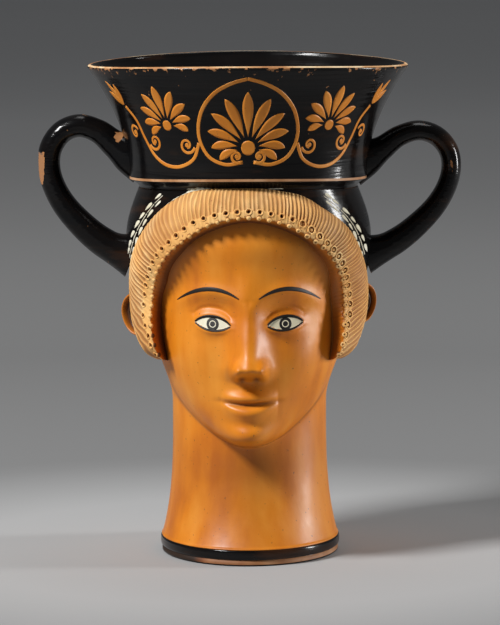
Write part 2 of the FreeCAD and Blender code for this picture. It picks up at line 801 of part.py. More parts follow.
def make_handle(side, neighbours):
    """A strap bent into a loop from the cup's wall down to the head's side."""
    low = WAIST_HEIGHT - HANDLE_LOWER_ROOT_DROP
    top = CARINATION_HEIGHT + HANDLE_TOP_RISE
    upper_root = CARINATION_HEIGHT + HANDLE_UPPER_ROOT_RISE
    roots = {
        0: (cup_radius(upper_root) - HANDLE_ROOT_SINK, upper_root),
        len(HANDLE_PATH_SHARES) - 1: (skull_half_width(low) - HANDLE_ROOT_SINK, low),
    }
    points = []
    for i, (out, rise, _) in enumerate(HANDLE_PATH_SHARES):
        x = blend(skull_half_width(low), HANDLE_REACH, out)
        x, z = roots.get(i, (x, blend(low, top, rise)))
        points.append(Vector(side * x, 0, z))
    path = Part.BSplineCurve()
    path.interpolate(points)
    sections = []
    for point, (_, _, thickness) in zip(points, HANDLE_PATH_SHARES):
        tangent = path.tangent(path.parameter(point))[0].normalize()
        in_plane = tangent.cross(Vector(0, 1, 0)).normalize()
        half = HANDLE_THICKNESS * thickness / 2
        deep = HANDLE_DEPTH * blend(1, thickness, HANDLE_SPREAD_SHARE) / 2
        sections.append(oval(point, in_plane * half, Vector(0, deep, 0)))
    handle = Part.makeLoft(sections, True, False)
    for neighbour in neighbours:
        handle = handle.cut(neighbour)
    return max(handle.Solids, key=lambda solid: solid.Volume)


def oval(centre, half_a, half_b):
    """A closed smooth curve through points on an ellipse with these two half axes."""
    ring = []
    for turn in steps(0.0, 2 * math.pi, HANDLE_SIDES)[:-1]:
        ring.append(centre + half_a * math.cos(turn) + half_b * math.sin(turn))
    curve = Part.BSplineCurve()
    curve.interpolate(
        Points=ring, PeriodicFlag=True, Parameters=steps(0.0, 1.0, HANDLE_SIDES)
    )
    return Part.Wire([curve.toShape()])


# Foot, floor and the coils inside


def make_foot():
    """An oval moulding with a reserved step under a swelling band."""
    hollow_width = skull_half_width(FOOT_HEIGHT) - HEAD_WALL
    hollow_depth = skull_back_depth(FOOT_HEIGHT) - HEAD_WALL
    step = Part.makeLoft(
        [
            ellipse_wire(
                FOOT_HALF_WIDTH - FOOT_STEP, FOOT_HALF_DEPTH - FOOT_STEP, height
            )
            for height in (0, FOOT_STEP_HEIGHT)
        ],
        True,
    )
    band_levels = [(FOOT_STEP_HEIGHT, FOOT_BULGE)]
    for share in FOOT_BULGE_SHARES:
        band_levels.append((blend(FOOT_STEP_HEIGHT, FOOT_HEIGHT, share), 0))
    band_levels.append((FOOT_HEIGHT, FOOT_BULGE))
    band = Part.makeLoft(
        [
            ellipse_wire(FOOT_HALF_WIDTH - inset, FOOT_HALF_DEPTH - inset, height)
            for height, inset in band_levels
        ],
        True,
    )
    hollow = Part.makeLoft(
        [
            ellipse_wire(hollow_width, hollow_depth, height)
            for height in (-OVERRUN, FOOT_HEIGHT + OVERRUN)
        ],
        True,
    )
    return step.fuse(band).cut(hollow).Solids[0]


def make_floor():
    """The disc of clay that closes the foot, a little above the table."""
    half_width = skull_half_width(FOOT_HEIGHT) - HEAD_WALL - SLIP
    half_depth = skull_back_depth(FOOT_HEIGHT) - HEAD_WALL - SLIP
    return Part.makeLoft(
        [
            ellipse_wire(half_width, half_depth, height)
            for height in (FLOOR_RECESS, FLOOR_RECESS + FLOOR_THICKNESS)
        ],
        True,
    )


def make_seam_coils():
    """Two rolls of clay smeared along the inner joint of the mould halves."""
    top = WAIST_HEIGHT - SEAM_COIL_TOP_GAP
    heights = [z for z in BORE_HEIGHTS if SEAM_COIL_LOW <= z <= top]
    spread = SEAM_COIL_WIDTH / 2 / HEAD_HALF_WIDTH
    coils = []
    for side in (1, -1):
        bed, crest = [], []
        for turn in steps(-1.0, 1.0, COIL_STEPS):
            angle = side * math.pi / 2 + spread * turn
            swell = SEAM_COIL_HEIGHT * math.cos(math.pi / 2 * turn) + SEAM_COIL_EDGE
            seat = [cavity_point(angle, z) for z in heights]
            bed.append([inward(point, COIL_SLIP) for point in seat])
            crest.append([inward(point, COIL_SLIP + swell) for point in seat])
        coils.append(slab(bed, crest))
    return Part.makeCompound(coils)


def inward(point, distance):
    """The point moved towards the vase's axis at its own height."""
    share = 1 - distance / math.hypot(point.x, point.y)
    return Vector(point.x * share, point.y * share, point.z)


def make_waist_coil():
    """The roll of clay that seals cup to head round the throat."""
    seat = THROAT_RADIUS - SLIP
    low = Vector(seat, 0, WAIST_HEIGHT - WAIST_COIL_HEIGHT / 2)
    high = Vector(seat, 0, WAIST_HEIGHT + WAIST_COIL_HEIGHT / 2)
    crest = Vector(seat - WAIST_COIL_SWELL, 0, WAIST_HEIGHT)
    section = Part.Wire([Part.Arc(low, crest, high).toShape(), Part.makeLine(high, low)])
    return Part.Face(section).revolve(Vector(), Vector(0, 0, 1), 360)


def main():
    cup = make_cup()
    front, back = make_head_halves()
    fringe = make_fringe()
    ears = {side: make_ear(side, [front, back, fringe]) for side in (-1, 1)}
    parts = {
        "cup_bowl": cup,
        "head_front_half": front,
        "head_back_half": back,
        "hair_fringe": fringe,
        "curls_outer_row": make_curl_row(OUTER_ROW_SHARE),
        "curls_inner_row": make_curl_row(INNER_ROW_SHARE),
        "ear_left": ears[-1],
        "ear_right": ears[1],
        "handle_left": make_handle(-1, [cup, front, back, fringe, ears[-1]]),
        "handle_right": make_handle(1, [cup, front, back, fringe, ears[1]]),
        "foot_ring": make_foot(),
        "foot_floor": make_floor(),
        "seam_coils": make_seam_coils(),
        "waist_coil": make_waist_coil(),
    }
    os.makedirs("parts", exist_ok=True)
    for name, shape in parts.items():
        shape.exportStep(f"parts/{name}.step")
        solids = shape.Solids
        valid = all(solid.isValid() for solid in solids)
        volume = sum(solid.Volume for solid in solids)
        print(f"{name}: {len(solids)} solids, {volume / 1000:.2f} cm3, valid {valid}")


main()
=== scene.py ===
"""Looks of the head vase: finely modelled clay, combed hair, painted ornament and glossy black slip.

Sizes are in millimetres and become metres when a mesh is made. Angles round the vase are measured
from the middle of the face, towards +X.
"""

import math

import bmesh
import bpy
import numpy as np
from mathutils import Matrix, Vector


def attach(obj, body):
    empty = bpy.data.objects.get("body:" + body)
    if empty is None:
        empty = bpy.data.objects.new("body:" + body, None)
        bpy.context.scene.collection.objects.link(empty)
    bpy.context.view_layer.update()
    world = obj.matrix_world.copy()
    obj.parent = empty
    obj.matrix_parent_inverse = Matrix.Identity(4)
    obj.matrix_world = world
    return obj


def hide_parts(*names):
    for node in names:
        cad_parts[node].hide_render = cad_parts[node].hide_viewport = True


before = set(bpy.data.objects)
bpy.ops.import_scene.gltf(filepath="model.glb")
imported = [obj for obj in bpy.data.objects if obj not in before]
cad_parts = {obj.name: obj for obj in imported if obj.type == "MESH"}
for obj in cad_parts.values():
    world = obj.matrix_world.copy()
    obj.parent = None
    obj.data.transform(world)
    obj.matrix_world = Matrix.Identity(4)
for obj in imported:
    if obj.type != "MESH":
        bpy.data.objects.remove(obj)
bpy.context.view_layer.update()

MM = 0.001

# Cup
TOTAL_HEIGHT = 192.0
RIM_RADIUS = 62.05
CARINATION_RADIUS = 46.1
WAIST_RADIUS = 42.4
WAIST_HEIGHT = 143.4
CARINATION_HEIGHT = 146.8
BAND_TOP = 148.2
CUP_FLARE_POWER = 1.9
CUP_WALL = 3.6
LIP_WALL = 2.2
RIM_DIP = 2.0
# The part of the lip's turn, in radians, where the slip is worn off
LIP_WORN_FROM = 0.5
LIP_WORN_TO = 1.8
# How far down the outside the slip is chipped much, and how far a little
LIP_WEAR_REACH = 2.5
WALL_WEAR_REACH = 14.0
# The reserved line on the sharp turn of the cup
STRIPE_LOW = 146.95
STRIPE_HIGH = 147.9

# Foot and neck
FOOT_HEIGHT = 6.2
FOOT_HALF_WIDTH = 35.0
FOOT_HALF_DEPTH = 42.0
FOOT_STEP = 0.6
FOOT_STEP_HEIGHT = 2.4
FOOT_BULGE = 0.6
FOOT_ARRIS = 0.3
FOOT_ARRIS_HEIGHT = 0.25
# The step is painted black from its foot up to this height, a painted contact shadow
FOOT_SHADOW_LINE_TOP = 0.6
NECK_HALF_WIDTH = 29.9
NECK_HALF_DEPTH = 32.0
NECK_TOP = 60.0
NECK_FLARE_POWER = 3.4

# Skull and crown
HEAD_HALF_WIDTH = 47.3
HEAD_BACK_DEPTH = 48.0
CROWN_FRONT_DEPTH = 44.5
WIDEST_HEIGHT = 122.97
HEAD_WALL = 5.0
SURFACE_BLEND = 3.4
JAW_BLEND = 1.1
JAW_BLEND_TOP = 58.0
JAW_BLEND_RUN = 30.0
# A bead of slip where the clay of the neck meets the foot
BEAD_RISE = 0.35
BEAD_REACH = 0.4
BEAD_SWELL = 0.3
# Above this height the slip of the hair runs right round under the cup
HAIR_TOP_BAND = 140.6

# Face, placed by thirds
CHIN_HEIGHT = 43.5
HAIRLINE_HEIGHT = 131.8
FACE_HALF_WIDTH = 34.5
FACE_DEPTH = 45.2
FACE_AXIS_DEPTH = 8.0
FOREHEAD_SLOPE = 5.0
FACE_WIDEST_HEIGHT = 97.95
CHIN_ROUNDING = 8.0
JAW_POWER = 2.6
JAW_ROOT = 1.8
CHIN_POWER = 2.4
FACE_THIRD = (HAIRLINE_HEIGHT - CHIN_HEIGHT) / 3
NOSE_BASE_HEIGHT = CHIN_HEIGHT + FACE_THIRD
BROW_HEIGHT = NOSE_BASE_HEIGHT + FACE_THIRD
MOUTH_HEIGHT = NOSE_BASE_HEIGHT - FACE_THIRD / 3
EYE_HEIGHT = (CHIN_HEIGHT + WAIST_HEIGHT) / 2
EYE_WIDTH = 2 * FACE_HALF_WIDTH / 5
HALF_MOUTH = 0.78 * EYE_WIDTH

# Face, how far each feature stands out or sinks in
NOSE_PROJECTION = 10.2
NOSE_BRIDGE = 2.2
NOSE_TIP_BALL = 1.4
NOSTRIL_SWELL = 4.6
NOSTRIL_PIT = 1.6
SOCKET_DEPTH = 3.2
EYEBALL_SWELL = 3.4
BROW_SWELL = 1.2
CHEEK_SWELL = 1.8
MOUTH_MOUND = 1.5
UPPER_LIP_SWELL = 1.9
LOWER_LIP_SWELL = 2.1
MOUTH_GROOVE = 1.5
MOUTH_CORNER_LIFT = 1.1
LIP_FOLD = 1.0
PHILTRUM_DEPTH = 0.5
CHIN_SWELL = 2.8
LID_SWELL = 0.75
LID_CREASE = 0.45
EYE_RECESS = 0.3

# Hair fringe
FRINGE_OUTER_PEAK = 150.0
# Each edge's widest height, drop below that, angle there and power
FRINGE_OUTER = (93.0, 28.0, 90.0, 1.7)
FRINGE_INNER = (88.0, 60.0, 57.0, 1.8)
FRINGE_END_HEIGHT = 77.0
FRINGE_EDGE = 0.6
FRINGE_THICKNESS = 5.4
FRINGE_END_THICKNESS = 11.0
FRINGE_SWELL_START = 0.62
FRINGE_SWELL_RUN = 0.3
FRINGE_END_SHARE = 0.93
FRINGE_FORWARD_SHARE = 0.38
FRINGE_END_LEAN = 0.26
FRINGE_TILT = 0.15
# Combed strands: upright over the forehead, leaning in towards the face down the sides
STRAND_TOP_PITCH = 1.7
STRAND_SIDE_PITCHES = (2.1, 1.6)
STRAND_LEANS = (48.0, 60.0)
STRAND_TURN_REACH = 34.0
STRAND_TURN_HEIGHT = 135.0
STRAND_DEPTH = 0.6
# The strands' pitch starts to change at this reach from the middle, over this run
STRAND_TOP_REACH = 10.0
STRAND_WIDENING = 24.0
STRAND_RULER = np.linspace(-20, 140, 1601)
STRAND_RULER_STEP = 0.1
PIT_RADIUS = 0.75
PIT_DEPTH = 1.0
RINGLET_RADIUS = 0.95
LIP_RIPPLES = 92
LIP_RIPPLE_SHARE = 0.012
# (place along, share across) of the lip, the foot of its wall and the outer row on each side
LIP_LEFT = [(0.15, 0.87), (0.35, 0.94), (0.48, 0.94), (0.68, 0.865), (0.78, 0.865), (0.9, 0.91)]
LIP_RIGHT = [(0.15, 0.87), (0.35, 0.93), (0.5, 0.93), (0.66, 0.88), (0.72, 0.885), (0.86, 0.975)]
WALL_LEFT = [(0.25, 1.0), (0.42, 1.055), (0.58, 1.055), (0.72, 0.97)]
WALL_RIGHT = [(0.25, 1.0), (0.42, 1.055), (0.7, 1.12)]
ROW_LEFT = [(0.2, 0.7), (0.38, 0.79), (0.5, 0.78), (0.7, 0.73), (0.78, 0.73), (0.9, 0.8)]
ROW_RIGHT = [(0.2, 0.7), (0.42, 0.82), (0.6, 0.82), (0.68, 0.79), (0.74, 0.8), (0.9, 0.9)]
# The combed edge laps over the waist in front and is drawn in down the sides
EDGE_OVER_WAIST = 0.1
EDGE_NIP_LEFT = 0.17
EDGE_NIP_RIGHT = 0.26
EDGE_NIP_RIGHT_UPPER = 0.15

# Curls
CURLS_PER_ROW = 43
CURL_RADIUS = 0.95
CURL_HEIGHT = 0.9

# Ears
EAR_HEIGHTS = (92.2, 96.3)
EAR_LENGTHS = (18.6, 17.0)
EAR_REACHES = (13.6, 11.4)
EAR_SETBACK = 3.0
EAR_SPLAY = 35.0
EAR_THICKNESS = 2.4
EAR_ROOT_SINK = 1.4
EAR_RIM = 2.3
EAR_RIDGE = 1.3
EAR_HOLLOW = 2.4
EAR_GROOVE = 0.9
EAR_LOBE = 1.4

# Handles
# The two handles were bent by hand, so each has its own reach, rise and thickness
HANDLE_REACHES = (77.4, 78.8)
HANDLE_TOP_RISES = (19.4, 16.9)
HANDLE_UPPER_ROOT_RISES = (9.0, 6.6)
HANDLE_LOWER_ROOT_DROP = 28.0
HANDLE_THICKNESSES = (8.9, 7.8)
HANDLE_DEPTH = 11.5
HANDLE_ROOT_SINK = 1.8
HANDLE_ROOT_RUN = 8.0
HANDLE_ROOT_BITE = 1.0
HANDLE_ROOT_SHARE = 0.3
# A flat chip on the outside of one handle, and a fleck on the front of the other
CHIP_TURN = 20.0
CHIP_REACH = 76.1
CHIP_HEIGHT = 149.5
CHIP_LENGTH = 13.0
CHIP_WEAR = 3.0
FLECK_WEAR = 2.2
FLECK_HEIGHT = 151.0
FLECK_LENGTH = 1.9
FLECK_REACH = 70.0
# Outward share of the reach, share of the rise from lower root to top, and thickness share
HANDLE_PATH_SHARES = [
    (0.0, 0.772, 1.75),
    (0.17, 0.862, 1.25),
    (0.37, 0.956, 1.05),
    (0.61, 1.0, 1.0),
    (0.82, 0.956, 1.0),
    (0.964, 0.842, 1.0),
    (1.0, 0.705, 0.98),
    (0.951, 0.56, 1.0),
    (0.81, 0.396, 1.08),
    (0.562, 0.226, 1.2),
    (0.359, 0.122, 1.3),
    (0.19, 0.06, 1.42),
    (0.0, 0.0, 2.0),
]

# Thickness of slip and paint over the clay, and how deep each painted form is rooted in it
SLIP_FILM = 0.12
PAINT_FILM = 0.07
PAINT_ROOT = 0.25
FILLER_ROOT = 0.3


def smoothstep(value):
    t = np.clip(value, 0.0, 1.0)
    return t * t * (3 - 2 * t)


def blend(start, end, share):
    return start + (end - start) * share


def bump(offset, width, power=2.0):
    return np.exp(-(np.abs(offset / width) ** power))


def smooth_min(a, b):
    return (a + b - np.hypot(a - b, SURFACE_BLEND)) / 2


def around(angle, radius, height):
    """Points at this angle and radius round the vase's axis."""
    angle, radius, height = np.broadcast_arrays(angle, radius, height)
    return np.stack([radius * np.sin(angle), -radius * np.cos(angle), height], axis=-1)


def saddle(angle, height):
    """How far the cup, and the crown under it, rise at front and back and sag at the handles."""
    under = smoothstep((height - WIDEST_HEIGHT) / (WAIST_HEIGHT - WIDEST_HEIGHT))
    over = np.clip((height - WAIST_HEIGHT) / (TOTAL_HEIGHT - WAIST_HEIGHT), 0.0, 1.0)
    return RIM_DIP / 2 * (np.cos(2 * angle) * under - over)


# Head as a radius for each angle and height


def foot_flare(height):
    below_neck_top = np.maximum(0.0, (NECK_TOP - height) / (NECK_TOP - FOOT_HEIGHT))
    return below_neck_top**NECK_FLARE_POWER


def skull_swell(height):
    rise = np.maximum(0.0, (height - NECK_TOP) / (WIDEST_HEIGHT - NECK_TOP))
    return smoothstep(rise**0.85)


def crown_fall(height):
    rise = (height - WIDEST_HEIGHT) / (WAIST_HEIGHT - WIDEST_HEIGHT)
    return 1 - np.cos(math.pi / 2 * np.clip(rise, 0.0, 1.0))


def skull_reach(height, neck, foot, head, swell):
    """From the foot up the neck to the skull's widest, then in to the waist."""
    stem = blend(neck, foot - FOOT_BULGE, foot_flare(height))
    return blend(blend(stem, head, swell), WAIST_RADIUS, crown_fall(height))


def skull_half_width(height):
    return skull_reach(height, NECK_HALF_WIDTH, FOOT_HALF_WIDTH, HEAD_HALF_WIDTH, skull_swell(height))


def skull_back_depth(height):
    return skull_reach(height, NECK_HALF_DEPTH, FOOT_HALF_DEPTH, HEAD_BACK_DEPTH, skull_swell(height))


def skull_front_depth(height):
    rise = smoothstep((height - EYE_HEIGHT) / (WIDEST_HEIGHT - EYE_HEIGHT))
    return skull_reach(height, NECK_HALF_DEPTH, FOOT_HALF_DEPTH, CROWN_FRONT_DEPTH, rise)


def skull_radius(angle, height):
    forward = np.cos(angle)
    depth = np.where(forward > 0, skull_front_depth(height), skull_back_depth(height))
    return 1 / np.hypot(np.sin(angle) / skull_half_width(height), forward / depth)


def face_half_width(height):
    drop = (FACE_WIDEST_HEIGHT - height) / (FACE_WIDEST_HEIGHT - CHIN_HEIGHT)
    drop = np.clip(drop, 0.0, 1.0)
    return FACE_HALF_WIDTH * (1 - drop**JAW_POWER) ** (1 / JAW_ROOT)


def face_depth(height):
    drop = np.clip((CHIN_HEIGHT + CHIN_ROUNDING - height) / CHIN_ROUNDING, 0.0, 1.0)
    rounding = (1 - drop**CHIN_POWER) ** (1 / CHIN_POWER)
    above_eyes = np.maximum(0.0, height - EYE_HEIGHT) / (WAIST_HEIGHT - EYE_HEIGHT)
    recede = FOREHEAD_SLOPE * above_eyes**2
    return (FACE_DEPTH - FACE_AXIS_DEPTH - recede) * rounding


def face_radius(angle, height):
    """Where a ray from the axis leaves the face's egg, or 0 where it misses."""
    width = np.maximum(face_half_width(height), 1e-6)
    depth = np.maximum(face_depth(height), 1e-6)
    a = (np.sin(angle) / width) ** 2 + (np.cos(angle) / depth) ** 2
    b = -2 * np.cos(angle) * FACE_AXIS_DEPTH / depth**2
    c = (FACE_AXIS_DEPTH / depth) ** 2 - 1
    inside = b * b - 4 * a * c
    root = (-b + np.sqrt(np.maximum(inside, 0.0))) / (2 * a)
    fade = smoothstep((WAIST_HEIGHT - height) / (WAIST_HEIGHT - WIDEST_HEIGHT))
    missed = (inside < 0) | (height <= CHIN_HEIGHT) | (root < 0)
    return np.where(missed, 0.0, root * fade)


def plain_radius(angle, height):
    skull, face = skull_radius(angle, height), face_radius(angle, height)
    softness = blend(JAW_BLEND, SURFACE_BLEND, smoothstep((height - JAW_BLEND_TOP) / JAW_BLEND_RUN))
    return (skull + face + np.hypot(skull - face, softness)) / 2


# Relief of the face, as a push towards the front


def spot(x, height, middle, reach, at, tall, power=2.0, power_up=2.0):
    """A rounded form on each side of the face, or one on its middle. middle and reach are in eyes."""
    across = bump(np.abs(x) - middle * EYE_WIDTH, reach * EYE_WIDTH, power)
    return across * bump(height - at, tall, power_up)


def nose_relief(x, height):
    length = BROW_HEIGHT - NOSE_BASE_HEIGHT
    down = (BROW_HEIGHT - height) / length
    slope = np.clip(down / 0.85, 0.0, 1.0) ** 1.1
    projection = blend(NOSE_BRIDGE, NOSE_PROJECTION, slope)
    fade_in = smoothstep((down + 0.5) / 0.5)
    fade_out = 1 - smoothstep((down - 0.84) / 0.22)
    width = EYE_WIDTH * blend(0.42, 0.5, smoothstep(down))
    ridge = projection * fade_in * fade_out * bump(x, width, 2.2)
    tip = spot(x, height, 0, 0.27, NOSE_BASE_HEIGHT + 0.17 * length, 0.12 * length)
    wing = spot(x, height, 0.37, 0.17, NOSE_BASE_HEIGHT + 0.12 * length, 0.12 * length, 2.0, 2.4)
    pit = spot(x, height, 0.2, 0.09, NOSE_BASE_HEIGHT, 0.035 * length)
    return ridge + NOSE_TIP_BALL * tip + NOSTRIL_SWELL * wing - NOSTRIL_PIT * pit


def brow_line(x):
    """Height of the arched ridge over the eyes."""
    across = (np.abs(x) - 1.05 * EYE_WIDTH) / EYE_WIDTH
    return BROW_HEIGHT + FACE_THIRD * (0.12 - 0.2 * across**2)


def lid_line(x, upper):
    """Height of the upper or lower edge of the open eye."""
    across = (np.abs(x) - EYE_WIDTH) / (EYE_WIDTH / 2)
    arch = np.clip(1 - np.abs(across) ** 2.2, 0.0, 1.0)
    tilt = 0.035 * EYE_WIDTH * across
    opening = 0.215 * EYE_WIDTH * arch**0.85 if upper else -0.16 * EYE_WIDTH * arch
    return EYE_HEIGHT + tilt + opening


def eye_relief(x, height):
    socket = spot(x, height, 0.9, 0.6, EYE_HEIGHT + 0.07 * FACE_THIRD, 0.2 * FACE_THIRD)
    eyeball = spot(x, height, 1, 0.47, EYE_HEIGHT, 0.15 * FACE_THIRD, 2.4, 2.4)
    brow = spot(x, height, 1, 0.95, brow_line(x), 0.1 * FACE_THIRD, 3.0)
    return EYEBALL_SWELL * eyeball + BROW_SWELL * brow - SOCKET_DEPTH * socket


def lid_relief(x, height):
    """Rims of the lids, the crease over them, and the eye a little behind them."""
    above = (height - lid_line(x, True)) / FACE_THIRD
    below = (lid_line(x, False) - height) / FACE_THIRD
    reach = bump(np.abs(x) - EYE_WIDTH, 0.58 * EYE_WIDTH, 6.0)
    rims = bump(above - 0.035, 0.04) + 0.7 * bump(below - 0.025, 0.03)
    crease = bump(above - 0.115, 0.022)
    open_eye = smoothstep(-above / 0.015) * smoothstep(-below / 0.015)
    return reach * (LID_SWELL * rims - LID_CREASE * crease - EYE_RECESS * open_eye)


def mouth_line(x):
    return MOUTH_HEIGHT + MOUTH_CORNER_LIFT * np.minimum(1.0, (x / HALF_MOUTH) ** 2)


def mouth_relief(x, height):
    above = (height - mouth_line(x)) / FACE_THIRD
    taper = np.maximum(0.0, 1 - (x / HALF_MOUTH) ** 2) ** 0.7
    mound = bump(x, 1.3 * HALF_MOUTH) * bump(above, 0.34)
    upper = taper * bump(above - 0.04 - 0.045 * taper, 0.075)
    lower = taper * bump(above + 0.05 + 0.055 * taper, 0.085)
    groove = bump(x, HALF_MOUTH, 4.0) * bump(above, 0.034)
    fold = bump(x, 0.75 * HALF_MOUTH) * bump(above + 0.28, 0.075)
    philtrum = bump(x, 0.14 * EYE_WIDTH) * bump(above - 0.24, 0.09)
    raised = MOUTH_MOUND * mound + UPPER_LIP_SWELL * upper + LOWER_LIP_SWELL * lower
    return raised - MOUTH_GROOVE * groove - LIP_FOLD * fold - PHILTRUM_DEPTH * philtrum


def face_relief(x, height):
    chin = spot(x, height, 0, 0.68, CHIN_HEIGHT + 0.27 * FACE_THIRD, 0.21 * FACE_THIRD)
    cheek = spot(x, height, 1.5, 0.66, NOSE_BASE_HEIGHT + 0.25 * FACE_THIRD, 0.38 * FACE_THIRD)
    features = nose_relief(x, height) + eye_relief(x, height) + lid_relief(x, height)
    return features + mouth_relief(x, height) + CHIN_SWELL * chin + CHEEK_SWELL * cheek


def head_points(angle, height, lift=0.0):
    """Points on the head, raised by lift along the ray from the axis."""
    angle, height = np.broadcast_arrays(angle, height)
    bead = BEAD_SWELL * bump(height - FOOT_HEIGHT - BEAD_RISE, BEAD_REACH)
    radius = plain_radius(angle, height) + lift + bead
    x = radius * np.sin(angle)
    y = -radius * np.cos(angle)
    y = y - face_relief(x, height) * smoothstep(2 * np.cos(angle))
    return np.stack([x, y, height + saddle(angle, height)], axis=-1)


def cavity_points(angle, height):
    angle, height = np.broadcast_arrays(angle, height)
    below = HEAD_WALL * (1 - smoothstep((height - FACE_WIDEST_HEIGHT) / (2 * CHIN_ROUNDING)))
    lower = np.maximum(FOOT_HEIGHT, height - below)
    outer = np.minimum(plain_radius(angle, height), plain_radius(angle, lower))
    return around(angle, outer - HEAD_WALL, height + saddle(angle, height))


def front_points(x, height, lift=0.0):
    """Points on the face straight behind these places of the front view."""
    low = np.zeros_like(x)
    high = np.full_like(x, math.radians(80))
    for _ in range(40):
        middle = (low + high) / 2
        short = plain_radius(middle, height) * np.sin(middle) < np.abs(x)
        low = np.where(short, middle, low)
        high = np.where(short, high, middle)
    angle = np.copysign((low + high) / 2, x)
    points = head_points(angle, height)
    points[..., 1] -= lift
    return points


# Meshes


def quads(rows, columns, wrap_rows=False, wrap_columns=False):
    """Faces between the neighbouring points of a grid, row by row."""
    faces = []
    for r in range(rows if wrap_rows else rows - 1):
        for c in range(columns if wrap_columns else columns - 1):
            here, down, right = r * columns, (r + 1) % rows * columns, (c + 1) % columns
            faces.append((here + c, here + right, down + right, down + c))
    return faces


class Clay:
    """Gathers closed pieces of surface and makes one object of them."""

    def __init__(self, name):
        self.name = name
        self.points = []
        self.faces = []
        self.face_slots = []
        self.shades = []
        self.count = 0

    def add(self, points, faces, slots=0, shade=0.0):
        """slots is one material slot for all the faces, or one for each of them."""
        points = np.asarray(points, float).reshape(-1, 3)
        self.points.append(points)
        self.shades.append(np.zeros(len(points)) + np.ravel(shade))
        self.faces += [tuple(index + self.count for index in face) for face in faces]
        self.face_slots += [slots] * len(faces) if isinstance(slots, int) else slots
        self.count += len(points)

    def add_ring(self, grid, row_slots=None, shade=0.0):
        """A closed tube: grid[row][column] wraps both ways."""
        rows, columns = grid.shape[:2]
        slots = [row_slots[r] if row_slots else 0 for r in range(rows) for _ in range(columns)]
        self.add(grid, quads(rows, columns, True, True), slots, shade)

    def add_slab(self, top, bottom, column_slots=None, shade=None):
        """The closed space between two grids of the same shape."""
        rows, columns = top.shape[:2]
        half = rows * columns
        upper = quads(rows, columns)
        lower = [(half + a, half + d, half + c, half + b) for a, b, c, d in upper]
        slots = (column_slots or [0] * (columns - 1)) * (2 * rows - 2)
        rim = list(range(columns))
        rim += [r * columns + columns - 1 for r in range(1, rows)]
        rim += [(rows - 1) * columns + c for c in range(columns - 2, -1, -1)]
        rim += [r * columns for r in range(rows - 2, 0, -1)]
        wall = [(b, a, half + a, half + b) for a, b in zip(rim, rim[1:] + rim[:1])]
        points = np.concatenate([top.reshape(-1, 3), bottom.reshape(-1, 3)])
        shade = 0.0 if shade is None else np.tile(np.ravel(shade), 2)
        self.add(points, upper + lower + wall, slots + [0] * len(wall), shade)

    def paint(self, on_surface, line, half_width, columns=5, rows=None):
        """A thin band along a (u, v) line, on a surface given as f(u, v, lift)."""
        self.add_slab(*ribbon(on_surface, line, half_width, columns, rows))

    def add_capped(self, rings, shade=None):
        """A closed body through rings of points, ended by a fan at both ends."""
        rows, columns = rings.shape[:2]
        middles = np.stack([rings[0].mean(axis=0), rings[-1].mean(axis=0)])
        faces = quads(rows, columns, wrap_columns=True)
        first = rows * columns
        last_ring = first - columns
        for c in range(columns):
            n = (c + 1) % columns
            faces += [(first, n, c), (first + 1, last_ring + c, last_ring + n)]
        if shade is not None:
            shade = np.concatenate([np.ravel(shade), [shade[0].mean(), shade[-1].mean()]])
        points = np.concatenate([rings.reshape(-1, 3), middles])
        self.add(points, faces, 0, 0.0 if shade is None else shade)

    def make(self, materials, nodes=(), shade_name="shade"):
        mesh = bpy.data.meshes.new(self.name)
        points = np.concatenate(self.points) * MM
        mesh.from_pydata(points.tolist(), [], self.faces)
        for material in materials:
            mesh.materials.append(material)
        mesh.polygons.foreach_set("material_index", self.face_slots)
        mesh.polygons.foreach_set("use_smooth", [True] * len(self.faces))
        face_outwards(mesh)
        shades = np.concatenate(self.shades)
        if shades.any():
            mesh.attributes.new(shade_name, "FLOAT", "POINT").data.foreach_set("value", shades)
        piece = bpy.data.objects.new(self.name, mesh)
        bpy.context.scene.collection.objects.link(piece)
        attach(piece, "root")
        if nodes:
            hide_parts(*nodes)


def face_outwards(mesh):
    """Turns every face to look out of its own closed body."""
    work = bmesh.new()
    work.from_mesh(mesh)
    bmesh.ops.recalc_face_normals(work, faces=work.faces)
    work.to_mesh(mesh)
    work.free()
    mesh.update()


def spline(points, count):
    """A smooth chain of count + 1 points through these, by Catmull and Rom's rule."""
    points = np.asarray(points, float)
    ends = [2 * points[0] - points[1]], [2 * points[-1] - points[-2]]
    padded = np.concatenate([ends[0], points, ends[1]])
    gaps = np.sqrt(np.linalg.norm(np.diff(padded[:, :2], axis=0), axis=1))
    knots = np.concatenate([[0.0], np.cumsum(gaps)])
    chain = []
    for t in np.linspace(knots[1], knots[-2], count + 1):
        k = int(np.clip(np.searchsorted(knots, t) - 1, 1, len(points) - 1))
        near = [padded[k + j - 1] for j in range(4)]
        at = [knots[k + j - 1] for j in range(4)]
        for level in (1, 2, 3):
            near = [
                near[j] + (near[j + 1] - near[j]) * (t - at_low) / (at_high - at_low)
                for j, (at_low, at_high) in enumerate(spans(at, level))
            ]
        chain.append(near[0])
    return np.array(chain)


def spans(knots, level):
    """The knot span that each blend of one level of the Catmull and Rom pyramid runs over."""
    if level == 1:
        return [(knots[0], knots[1]), (knots[1], knots[2]), (knots[2], knots[3])]
    if level == 2:
        return [(knots[0], knots[2]), (knots[1], knots[3])]
    return [(knots[1], knots[2])]


# Materials


# The range that most of a noise's values lie in
NOISE_MIDDLE = (0.3, 0.7)
BARE = (0.42, 0.19, 0.075)
# Painted shade: a brown for shaded places and a near black for the deepest, such as pits and hollows
PAINTED_SHADE_COLOUR = (0.2, 0.06, 0.015)
PAINTED_DEEP_SHADE_COLOUR = (0.025, 0.012, 0.006)
# The slip is worn through where noise and wear add up to this
WORN_FROM = 0.745
WORN_EDGE = 0.02


